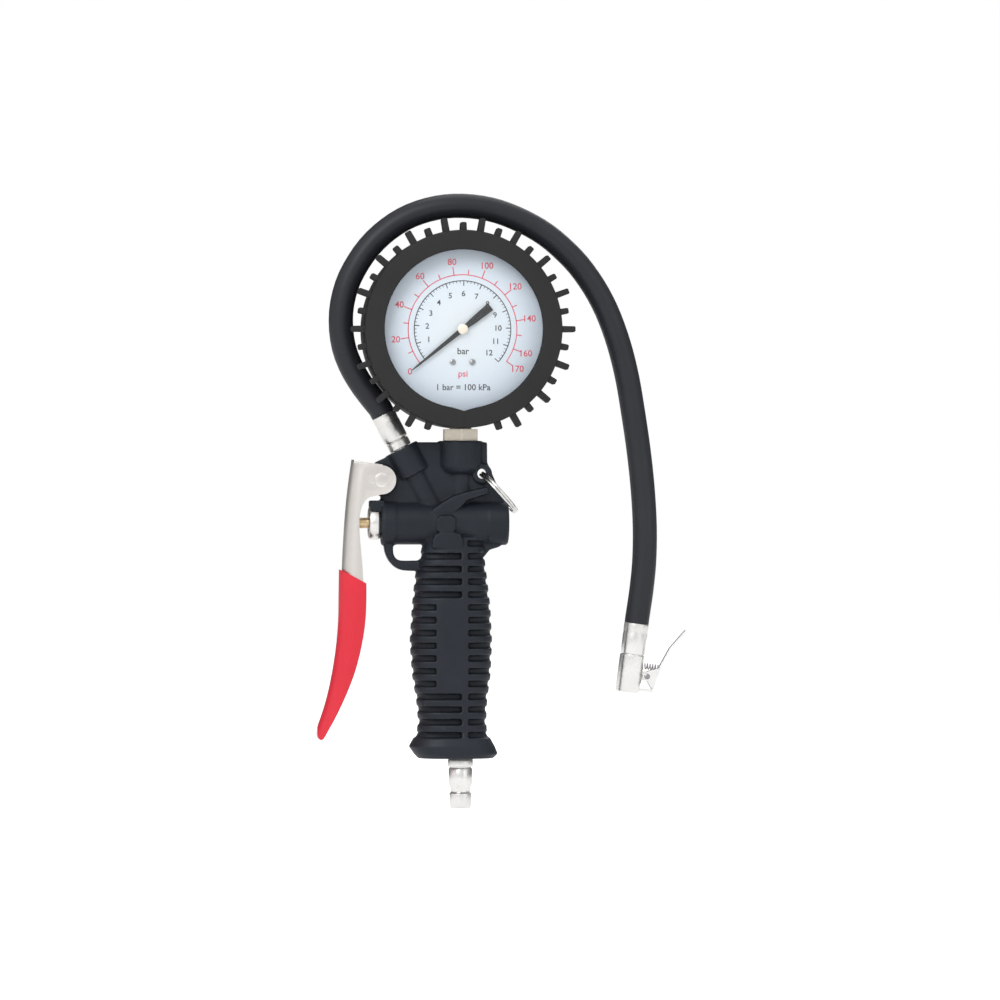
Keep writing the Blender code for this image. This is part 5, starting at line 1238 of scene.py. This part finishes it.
@dataclass
class Gauge:
    """The dial gauge: bezel, window, printed face, pointer, socket and toothed boot."""

    zero: float = 219.0
    per_psi: float = 1.5
    full: int = 170
    bar_step: float = 14.5 * 1.5
    print_level: float = -11.62
    print_half: float = 0.02
    arc_width: float = 0.42
    unit_height: float = 2.9
    pointer_level: float = -13.1
    pointer_half: float = 0.2
    blade: Profile = ((29.5, 0.16), (26.0, 0.45), (2.0, 1.1), (-3.4, 1.25), (-5.4, 1.5), (-15.8, 1.95),
                      (-16.0, 1.8))
    hub: Profile = ((0.85, -12.5), (0.85, -13.45), (1.9, -13.45), (2.3, -13.55), (2.3, -13.7),
                    (1.9, -13.9), (1.0, -14.0), (0, -14.02), (0, -13.5), (0.8, -13.5), (0.8, -12.5))
    hub_bore_radius: float = 1.3
    boot_profile: Profile = (
        (35.5, -20.1), (35.9, -20.5), (43.2, -20.5), (44.0, -20.2), (44.3, -19.4), (44.3, 11.4),
        (43.9, 12.1), (43.3, 12.3), (34.6, 12.3), (34.0, 11.8), (34.0, 10.8), (34.4, 10.3), (41.5, 10.3),
        (41.5, -17.9), (35.9, -17.9), (35.5, -18.2))
    tooth_places: int = 36
    missing_teeth: tuple[int, ...] = (26, 27, 28)
    long_tip: float = 50.2
    short_tip: float = 47.8
    tooth_front: float = -19.4
    tooth_back: float = -11.5
    notch: Profile = ((-7, -34.6), (0, -36.7), (7, -34.6))
    bezel: Profile = ((41.2, -11.7), (41.2, -16.9), (40.6, -17.6), (37.6, -17.6), (37.0, -17.2),
                      (37.0, -16.7), (40.3, -16.7), (40.3, -11.7))
    lens: Profile = ((0, -16.4), (38.6, -16.4), (39.6, -16.2), (39.8, -15.9), (39.8, -14.5), (39.6, -14.3),
                     (0, -14.3))
    dial: Profile = ((1.6, -11.6), (38.2, -11.6), (38.4, -11.5), (38.4, -11.0), (1.6, -11.0))
    rivet: Profile = ((0, -12.4), (0.9, -12.36), (1.3, -12.1), (1.3, -11.9), (0.5, -11.9), (0.5, -9.8),
                      (0, -9.8))
    rivet_place: Point2 = (4.4, -14.7)

    def turned(self, name: str, profile: Sequence[Point2], finish: Finish, body: str, slot: str, node: str,
               steps: int = 128, closed: bool = False, edge: float = 0.0) -> bpy.types.Object:
        """Spins a piece about the gauge's axis and dresses it.

        Args:
            name: The piece's name.
            profile: Radius and y pairs, in millimetres.
            finish: Its finish.
            body: The body it moves with.
            slot: The record's material slot.
            node: The node it replaces.
            steps: Steps round the axis.
            closed: Whether the profile's last point joins its first.
            edge: Rounding of the sharp rings, in millimetres.

        Returns:
            The piece.
        """
        obj = as_object(name, spun(profile, standing(GAUGE, Y_AXIS), steps, closed, edge))
        return dress(obj, finish, body, slot, node)

    def at(self, radius: float, degrees: float, y: float) -> Vector:
        """Gives a point on the dial from its radius and direction, in millimetres and degrees."""
        a = math.radians(degrees)
        return GAUGE + Vector((radius * math.cos(a), y, radius * math.sin(a))) * MM

    def facing(self, degrees: float, y: float = 0.0) -> Matrix:
        """Gives the matrix that turns local +X to a direction on the dial.

        Args:
            degrees: The direction, anticlockwise from the right.
            y: How far behind the gauge's middle plane, in millimetres.

        Returns:
            The placing matrix.
        """
        turn = Matrix.Rotation(-math.radians(degrees), 4, "Y")
        return Matrix.Translation(GAUGE + y * MM * Y_AXIS) @ turn

    def print_bars(self, marks: Iterable[tuple[float, float, float, float]]) -> bmesh.types.BMesh:
        """Makes the printed strokes.

        Args:
            marks: Direction in degrees, inner radius, outer radius and width, in millimetres.

        Returns:
            The strokes as one shape.
        """
        bars = []
        thick = self.print_half * MM
        for degrees, inner, outer, width in marks:
            bar = block((inner * MM, -thick, -width * MM / 2), (outer * MM, thick, width * MM / 2))
            bmesh.ops.transform(bar, matrix=self.facing(degrees, self.print_level), verts=bar.verts[:])
            bars.append(bar)
        return gathered(bars)

    def print_arc(self, radius: float, start: float, end: float) -> bmesh.types.BMesh:
        """Makes a printed arc between two directions in degrees, clockwise."""
        steps = 120
        outer = arc((0, 0), (radius + self.arc_width / 2) * MM, start, end, steps)
        inner = arc((0, 0), (radius - self.arc_width / 2) * MM, end, start, steps)
        made = plate(outer + inner, -self.print_half * MM, self.print_half * MM)
        bmesh.ops.translate(made, verts=made.verts[:], vec=GAUGE + self.print_level * MM * Y_AXIS)
        return made

    def lettering(self, text: str, place: Vector, height: float) -> bmesh.types.BMesh:
        """Makes upright lettering that faces the front.

        Args:
            text: What it says.
            place: Its middle.
            height: Height of a capital, in millimetres.

        Returns:
            The letters as one shape.
        """
        data = bpy.data.curves.new("lettering", "FONT")
        data.body, data.align_x, data.align_y = text, "CENTER", "CENTER"
        capital_share, bolder = 0.72, 0.05
        data.size, data.extrude = height * MM / capital_share, self.print_half * MM
        data.resolution_u, data.offset = 3, bolder * MM
        obj = bpy.data.objects.new("lettering", data)
        bpy.context.scene.collection.objects.link(obj)
        bpy.context.view_layer.update()
        mesh = bpy.data.meshes.new_from_object(obj.evaluated_get(bpy.context.evaluated_depsgraph_get()))
        bpy.data.objects.remove(obj, do_unlink=True)
        bm = bmesh.new()
        bm.from_mesh(mesh)
        bpy.data.meshes.remove(mesh)
        bmesh.ops.transform(bm, matrix=Matrix.Translation(place) @ Matrix.Rotation(math.pi / 2, 4, "X"),
                            verts=bm.verts[:])
        return tidy(bm)

    def numbers(self, values: Iterable[int], step: float, radius: float,
                height: float) -> list[bmesh.types.BMesh]:
        """Makes the numbers of one scale.

        Args:
            values: The numbers.
            step: Degrees between a value and the next.
            radius: How far from the middle they stand, in millimetres.
            height: Height of a digit, in millimetres.

        Returns:
            One shape for each number.
        """
        level = self.print_level
        return [self.lettering(str(value), self.at(radius, self.zero - value * step, level), height)
                for value in values]

    def words(self, text: str, down: float, height: float) -> bmesh.types.BMesh:
        """Makes a line of lettering below the dial's middle, in millimetres."""
        return self.lettering(text, GAUGE + Vector((0.2, self.print_level, -down)) * MM, height)

    def psi_scale(self) -> bmesh.types.BMesh:
        """Makes the outer scale, its numbers and its unit."""
        ring, long, short, stroke = 24.3, 28.0, 26.6, 0.45
        marks = []
        for psi in range(0, self.full + 1, 10):
            outer = long if psi % 20 == 0 or psi == self.full else short
            marks.append((self.zero - psi * self.per_psi, ring, outer, stroke))
        end = self.zero - self.full * self.per_psi
        values = (*range(0, self.full, 20), self.full)
        return gathered([
            self.print_arc(ring, self.zero, end), self.print_bars(marks),
            *self.numbers(values, self.per_psi, 30.2, 2.9), self.words("psi", 19.9, self.unit_height)])

    def bar_scale(self) -> bmesh.types.BMesh:
        """Makes the inner scale, its numbers, its unit and the line below them."""
        ring, long, short, broad, thin = 21.6, 19.4, 20.6, 0.42, 0.26
        most, parts = 12, 5
        marks = []
        for mark in range(most * parts + 1):
            inner, width = (long, broad) if mark % parts == 0 else (short, thin)
            marks.append((self.zero - mark / parts * self.bar_step, inner, ring, width))
        return gathered([
            self.print_arc(ring, self.zero, self.zero - most * self.bar_step), self.print_bars(marks),
            *self.numbers(range(1, most + 1), self.bar_step, 15.8, 2.5),
            self.words("bar", 9.9, self.unit_height), self.words("1 bar = 100 kPa", 26.0, 2.75)])

    def pointer(self) -> None:
        """Builds the pointer with its broad tail, and its hub."""
        half = self.pointer_half * MM
        bm = ease(plate(scaled(mirrored(self.blade)), -half, half), 0.08 * MM, 2, 50)
        bmesh.ops.transform(bm, matrix=self.facing(self.zero, self.pointer_level), verts=bm.verts[:])
        obj = as_object("pointer", bm)
        front = GAUGE - 20 * MM * Y_AXIS
        changed(obj, Cut.AWAY, [rod(front, GAUGE, self.hub_bore_radius * MM, 32)], "EXACT")
        dress(obj, POINTER_BLACK, "needle", "needle_black", "needle")
        self.turned("pointer_hub", self.hub, HEX_BRASS, "needle", "brass", "needle_hub", 48, True)

    def tooth(self, place: int) -> bmesh.types.BMesh:
        """Makes one tooth of the boot: long ones take turns with short ones."""
        tip = self.long_tip if place % 2 == 0 else self.short_tip
        outline = mirrored(((43.6, -1.55), (44.6, -1.4), (tip - 0.5, -1.3), (tip, -0.9)))
        tooth = plate(scaled(outline), self.tooth_front * MM, self.tooth_back * MM)
        ease(tooth, 0.35 * MM, 2, 60)
        matrix = self.facing(place * 360 / self.tooth_places)
        bmesh.ops.transform(tooth, matrix=matrix, verts=tooth.verts[:])
        return tooth

    def boot(self) -> None:
        """Builds the rubber boot with its ring of teeth, its moulding seam and its notch."""
        boot = as_object("toothed_boot", spun(self.boot_profile, standing(GAUGE, Y_AXIS), 180, True))
        teeth = [self.tooth(place) for place in range(self.tooth_places) if place not in self.missing_teeth]
        changed(boot, Cut.JOINED, [gathered(teeth)], "EXACT")
        seam = block((-0.09 * MM, -20.62 * MM, GAUGE.z - 44.2 * MM),
                     (0.09 * MM, -20.38 * MM, GAUGE.z - 35.9 * MM))
        changed(boot, Cut.JOINED, [seam], "EXACT")
        outline = [(x, GAUGE.z + z) for x, z in scaled(self.notch)]
        changed(boot, Cut.AWAY, [plate(outline, -21 * MM, -17.5 * MM)], "EXACT")
        dress(boot, BOOT_RUBBER, "gun", "boot_rubber", "gauge_boot")

    def dial_screw(self, side: int, name: str, node: str) -> None:
        """Builds one of the slotted screws that hold the dial.

        Args:
            side: -1 for the left one, 1 for the right one.
            name: The piece's name.
            node: The node it replaces.
        """
        across, up = self.rivet_place
        centre = GAUGE + Vector((side * across, 0, up)) * MM
        obj = as_object(name, spun(self.rivet, standing(centre, Y_AXIS), 32))
        slit = block((centre.x - 0.15 * MM, -12.6 * MM, centre.z - 1.5 * MM),
                     (centre.x + 0.15 * MM, -12.2 * MM, centre.z + 1.5 * MM))
        changed(obj, Cut.AWAY, [slit], "EXACT")
        dress(obj, STEEL, "gun", "needle_black", node)

    def build(self) -> None:
        """Builds all the gauge's pieces."""
        self.boot()
        self.turned("bezel_ring", self.bezel, CASE_STEEL, "gun", "case_steel", "gauge_bezel", closed=True)
        self.turned("dial_window", self.lens, LENS, "gun", "lens_clear", "gauge_lens")
        self.turned("dial_face", self.dial, DIAL_WHITE, "gun", "dial_white", "gauge_dial", closed=True)
        red, black = self.psi_scale(), self.bar_scale()
        dress(as_object("dial_print_red", red), INK_RED, "gun", "dial_white")
        dress(as_object("dial_print_black", black), INK_BLACK, "gun", "dial_white")
        self.pointer()
        self.dial_screw(-1, "dial_rivet_left", "dial_screw_left")
        self.dial_screw(1, "dial_rivet_right", "dial_screw_right")


@dataclass
class HoseLine:
    """The hose from the outlet over the gauge to the chuck. Sizes in millimetres."""

    radius: float = 5.5
    straight: float = 3.0
    route: tuple[Point2, ...] = (
        (-39.8, 184.2), (-44.2, 190.0), (-48.8, 197.6), (-52.3, 206.4), (-53.8, 216.6), (-53.1, 227.6),
        (-49.1, 239.9), (-40.1, 253.4), (-27.6, 263.7), (-13.7, 269.3), (1.1, 270.9), (17.8, 268.2),
        (35.8, 259.9), (49.3, 248.8), (58.3, 237.8), (65.5, 225.2), (71.1, 210.6), (75.2, 194.9),
        (78.1, 178.2), (80.6, 161.1), (82.4, 144.5), (83.4, 127.4), (83.2, 111.6), (81.9, 98.1))

    def path(self) -> list[Vector]:
        """Gives the points down the middle of the hose."""
        first = OUTLET_START - self.straight * MM * OUTLET_AXIS
        last = CHUCK_START - self.straight * MM * CHUCK_AXIS
        middle = flowing([first, *(Vector((x * MM, 0, z * MM)) for x, z in self.route), last], 4 * MM)
        return [OUTLET_START, *middle, CHUCK_START]

    def build(self) -> bpy.types.Object:
        """Builds the hose, its crimped ferrule and the collar below it.

        Returns:
            The hose.
        """
        hose = strand("air_hose", self.path(), self.radius * MM, 10)
        dress(hose, HOSE_RUBBER, "gun", "hose_rubber", "hose")
        place = standing(OUTLET_START, OUTLET_AXIS)
        ferrule = ((0, 0.04), (5.2, 0.04), (5.45, 0.3), (5.5, 0.8), (5.5, 2.7), (5.4, 3.2), (5.4, 4.4),
                   (5.5, 4.9), (5.5, 11.9), (5.4, 12.6), (5.1, 13.1), (0, 13.1))
        dress(as_object("crimped_ferrule", spun(ferrule, place, 96, edge=0.06)), NICKEL_TURNED, "gun",
              "nickel", "hose_ferrule")
        collar = ((1.5, 13.14), (4.7, 13.14), (4.7, 13.4), (5.2, 13.8), (5.2, 16.8), (4.8, 17.2), (3.7, 17.2),
                  (3.7, 25.8), (1.5, 25.8))
        dress(as_object("hose_collar", spun(collar, place, 64, True)), NICKEL_TURNED, "gun", "nickel",
              "hose_fitting")
        return hose

    def length(self) -> float:
        """Gives the hose's length in metres."""
        points = self.path()
        return sum((b - a).length for a, b in zip(points, points[1:]))


@dataclass
class TyreChuck:
    """The clip-on chuck at the hose's far end. Sizes in millimetres from its start: side, along."""

    pivot: Point2 = (7.6, 23.1)
    ear_radius: float = 2.0
    hole_radius: float = 1.1
    clip_half: float = 2.6
    cheek_inside: float = 1.8
    spring_ends: tuple[float, float] = (6.15, 12.2)
    spring_along: float = 18.6
    spring_radius: float = 1.2
    spring_wire: float = 0.25
    spring_keep: float = 0.7

    def spot(self, side: float, along: float) -> Vector:
        """Gives a point from its place across and along the chuck."""
        return CHUCK_START + along * MM * CHUCK_AXIS + side * MM * CHUCK_SIDE

    def outline(self, points: Iterable[Point2]) -> list[Point2]:
        """Turns side and along pairs into x and z in metres."""
        return [(p.x, p.z) for p in (self.spot(*point) for point in points)]

    def build(self) -> list[bpy.types.Object]:
        """Builds the chuck's pieces.

        Returns:
            The pieces on the hose.
        """
        place = standing(CHUCK_START, CHUCK_AXIS)
        ferrule = ((0, 0.04), (5.3, 0.04), (5.5, 0.3), (5.5, 2.9), (5.42, 3.5), (5.42, 4.7),
                   (5.5, 5.3), (5.5, 13.5), (5.3, 13.9), (5.0, 14.0), (0, 14.0))
        made = [dress(as_object("chuck_sleeve", spun(ferrule, place, 96, edge=0.06)), NICKEL_CHUCK, "gun",
                      "nickel", "chuck_ferrule")]
        body = ((1.5, 14.04), (4.9, 14.04), (4.9, 14.3), (5.3, 14.3), (5.6, 14.6), (5.6, 30.6), (5.2, 31.3),
                (4.3, 31.3), (4.3, 20.1), (1.5, 20.1))
        obj = as_object("chuck_barrel", spun(body, place, 96, True))
        pivot = self.spot(*self.pivot)
        lug = self.outline(((4.9, 21.1), (4.9, 25.1), (7.6, 25.1)))
        lug += arc((pivot.x, pivot.z), self.ear_radius * MM, -70, 80, 16) + self.outline(((7.6, 21.1),))
        notch = self.outline(((3.0, 26.6), (3.0, 40), (20, 40), (20, 26.6)))
        slot = self.outline(((4.6, 14.8), (4.6, 18.4), (9, 18.4), (9, 14.8)))
        changed(obj, Cut.JOINED, [plate(lug, -1.5 * MM, 1.5 * MM)], "EXACT")
        changed(obj, Cut.AWAY, [plate(notch, -3 * MM, 3 * MM), plate(slot, -2.2 * MM, 2.2 * MM),
                                crossing(pivot, self.hole_radius * MM, 32)], "EXACT")
        made.append(dress(obj, NICKEL_CHUCK, "gun", "nickel", "chuck_body"))
        self.clip(pivot)
        rivet = ((0, 3.4), (0.9, 3.3), (1.3, 3.0), (1.3, 2.9), (0.8, 2.9), (0.8, -2.9), (1.3, -2.9),
                 (1.3, -3.0), (0.9, -3.3), (0, -3.4))
        made.append(dress(as_object("chuck_rivet", spun(rivet, standing(pivot, Y_AXIS), 32)), STEEL, "gun",
                          "screw_steel", "chuck_lever_pin"))
        made.append(self.coil())
        made += [bpy.data.objects["chuck_clip"], frame["nodes"]["chuck_depressor"],
                 frame["nodes"]["chuck_seal"]]
        return made

    def clip(self, pivot: Vector) -> None:
        """Builds the thumb lever with its cheeks and claw.

        Args:
            pivot: The rivet's middle.
        """
        arm_points = [(10.4, 30.0), (11.2, 30.0), (13.4, 18.4), (17.0, 9.2), (22.9, 0.6), (22.3, 0.1),
                      (16.3, 8.9), (12.6, 18.2)]
        inside, half = self.cheek_inside * MM, self.clip_half * MM
        arm = ease(plate(self.outline(arm_points), -half, half), 0.18 * MM, 2, 50)
        cheek_points = arc((pivot.x, pivot.z), self.ear_radius * MM, 90, 270, 16)
        cheek_points += self.outline(((10.6, 28.6), (12.9, 18.6), (8.4, 20.4)))
        claw_points = self.outline(((10.9, 28.6), (10.9, 30.0), (3.7, 30.0), (3.7, 28.9), (9.4, 28.6)))
        obj = as_object("chuck_clip", arm)
        changed(obj, Cut.JOINED, [
            plate(cheek_points, -half, -inside), plate(cheek_points, inside, half),
            plate(claw_points, -2.3 * MM, 2.3 * MM)], "EXACT")
        changed(obj, Cut.AWAY, [crossing(pivot, self.hole_radius * MM, 32)], "EXACT")
        dress(obj, NICKEL_PRESSED, "chuck_lever", "nickel", "chuck_lever")

    def coil(self) -> bpy.types.Object:
        """Builds the return spring as one fixed coil; the real one shortens as the clip is pressed.

        Returns:
            The spring.
        """
        start, end = (self.spot(side, self.spring_along) for side in self.spring_ends)
        wound = helix(start, end, self.spring_radius * MM, 5)
        obj = meshed(strand("chuck_coil", wound, self.spring_wire * MM, 2))
        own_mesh(obj)
        return dress(obj, STEEL, "gun", "spring_steel", "chuck_spring")


@dataclass
class FrameFinishes:
    """Finishes for the frame's own nodes that stay."""

    by_slot: tuple[tuple[str, Finish], ...] = (
        ("brass", BRASS), ("cast_alloy", ALLOY), ("case_steel", CASE_STEEL), ("seal_rubber", SEAL_RUBBER),
        ("spring_steel", STEEL), ("screw_steel", STEEL), ("nickel", NICKEL))

    def apply(self) -> None:
        """Gives each node left showing the finish of its slot, and eases the hexagon's edges."""
        finishes = dict(self.by_slot)
        slots = {row["node"]: row["material_slot"] for row in frame["record"]["subparts"]}
        for name, node in frame["nodes"].items():
            if node.hide_render:
                continue
            finish = finishes.get(slots.get(name, "nickel"), NICKEL)
            if name == "gauge_socket":
                finish = HEX_BRASS
                weld = node.modifiers.new("weld", "WELD")
                weld.merge_threshold = WELD
                bevel = node.modifiers.new("eased", "BEVEL")
                bevel.width, bevel.segments, bevel.limit_method = 0.35 * MM, 3, "ANGLE"
                bevel.angle_limit = math.radians(40)
            node.data.materials.clear()
            node.data.materials.append(finish.material())
            LOG.info("%s: %s, as packed", name, finish.name)


@dataclass
class Studio:
    """The camera, the pale floor and the soft light."""

    azimuth: float = -5.0
    distance: float = 3.0
    target: tuple[float, float, float] = (0.0179, 0.0, 0.1386)
    lens: float = 240.0
    floor_level: float = -0.05
    floor_half: float = 6.0
    lamps: tuple[tuple[str, tuple[float, float, float], float, float], ...] = (
        ("key", (-1.2, -2.2, 1.9), 32, 1.6), ("fill", (1.8, -1.6, 0.9), 5, 1.8),
        ("top", (0.2, 0.6, 2.4), 12, 1.6), ("back", (0.9, 2.4, 1.9), 14, 1.8))
    lit: tuple[float, float, float] = (0.01, 0.0, 0.14)

    def camera(self) -> None:
        """Sets the camera up."""
        angle = math.radians(self.azimuth)
        back = Vector((math.sin(angle), -math.cos(angle), 0))
        data = bpy.data.cameras.new("camera")
        data.lens, data.sensor_width, data.clip_end = self.lens, 36.0, 20.0
        camera = bpy.data.objects.new("camera", data)
        camera.location = Vector(self.target) + self.distance * back
        camera.rotation_euler = (-back).to_track_quat("-Z", "Y").to_euler()
        bpy.context.scene.collection.objects.link(camera)
        bpy.context.scene.camera = camera

    def pale(self) -> bpy.types.Material:
        """Makes the floor's pale, faintly uneven material."""
        made = bpy.data.materials.new("pale_floor")
        made.use_nodes = True
        nodes = Nodes(made.node_tree)
        shader = made.node_tree.nodes["Principled BSDF"]
        place = nodes.add("TexCoord").outputs["Object"]
        noise = nodes.add("TexNoise", {"Vector": place, "Scale": 3.0, "Detail": 3.0}).outputs[0]
        colour = nodes.mixed(noise, (0.93, 0.93, 0.93, 1), (0.95, 0.95, 0.95, 1))
        made.node_tree.links.new(colour, shader.inputs["Base Color"])
        shader.inputs["Roughness"].default_value = 0.9
        ray = nodes.add("LightPath").outputs["Is Camera Ray"]
        glow = nodes.mixed(ray, (0.05, 0.05, 0.05, 1), (0.6, 0.6, 0.6, 1))
        made.node_tree.links.new(glow, shader.inputs["Emission Color"])
        shader.inputs["Emission Strength"].default_value = 1.0
        return made

    def floor(self) -> None:
        """Makes a wide flat floor below the gun."""
        bm = bmesh.new()
        bmesh.ops.create_grid(bm, x_segments=2, y_segments=2, size=self.floor_half,
                              matrix=Matrix.Translation((0, 0, self.floor_level)))
        floor = as_object("pale_floor", bm)
        floor.data.materials.append(self.pale())

    def light(self) -> None:
        """Makes a surround that is darker to the right, behind and below, and four soft lights."""
        world = bpy.data.worlds.new("studio")
        bpy.context.scene.world = world
        world.use_nodes = True
        nodes = Nodes(world.node_tree)
        ray = nodes.add("LightPath").outputs["Is Camera Ray"]
        direction = nodes.add("TexCoord").outputs["Generated"]
        split = nodes.add("SeparateXYZ", {0: direction})
        right = nodes.ranged(split.outputs["X"], 0.6, 0.95, 1.0, 0.45)
        dark = nodes.sum("MULTIPLY", right, nodes.ranged(split.outputs["X"], -0.4, -0.9, 1.0, 1.2))
        level = nodes.ranged(split.outputs["Z"], -0.7, 0.5, 0.30, 0.85)
        front = nodes.ranged(split.outputs["Y"], 0.0, 0.6, 1.0, 0.2)
        shade = nodes.sum("MULTIPLY", nodes.sum("MULTIPLY", level, front), dark)
        grey = nodes.add("CombineColor", {0: shade, 1: shade, 2: shade}).outputs[0]
        tone = nodes.mixed(ray, grey, (1.0, 1.0, 1.0, 1))
        background = world.node_tree.nodes["Background"]
        world.node_tree.links.new(tone, background.inputs["Color"])
        background.inputs["Strength"].default_value = 1.0
        for name, place, energy, size in self.lamps:
            data = bpy.data.lights.new(name, "AREA")
            data.energy, data.size = energy, size
            lamp = bpy.data.objects.new(name, data)
            lamp.location = place
            aim = Vector(self.lit) - Vector(place)
            lamp.rotation_euler = aim.to_track_quat("-Z", "Y").to_euler()
            bpy.context.scene.collection.objects.link(lamp)
        bpy.context.scene.view_settings.view_transform = "Standard"


def main() -> None:
    """Builds everything in order."""
    logging.basicConfig(level=logging.INFO, format="%(name)s: %(message)s")
    studio = Studio()
    studio.camera()
    line = HoseLine()
    hose = line.build()
    chuck = TyreChuck().build()
    round(line.length(), 3)
    Gauge().build()
    Valve().build()
    SqueezeLever().build()
    SplitRing().build()
    Housing().build()
    FrameFinishes().apply()
    studio.floor()
    studio.light()
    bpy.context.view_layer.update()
    LOG.info("hose length %.4f m", line.length())


if __name__ == "__main__":
    main()
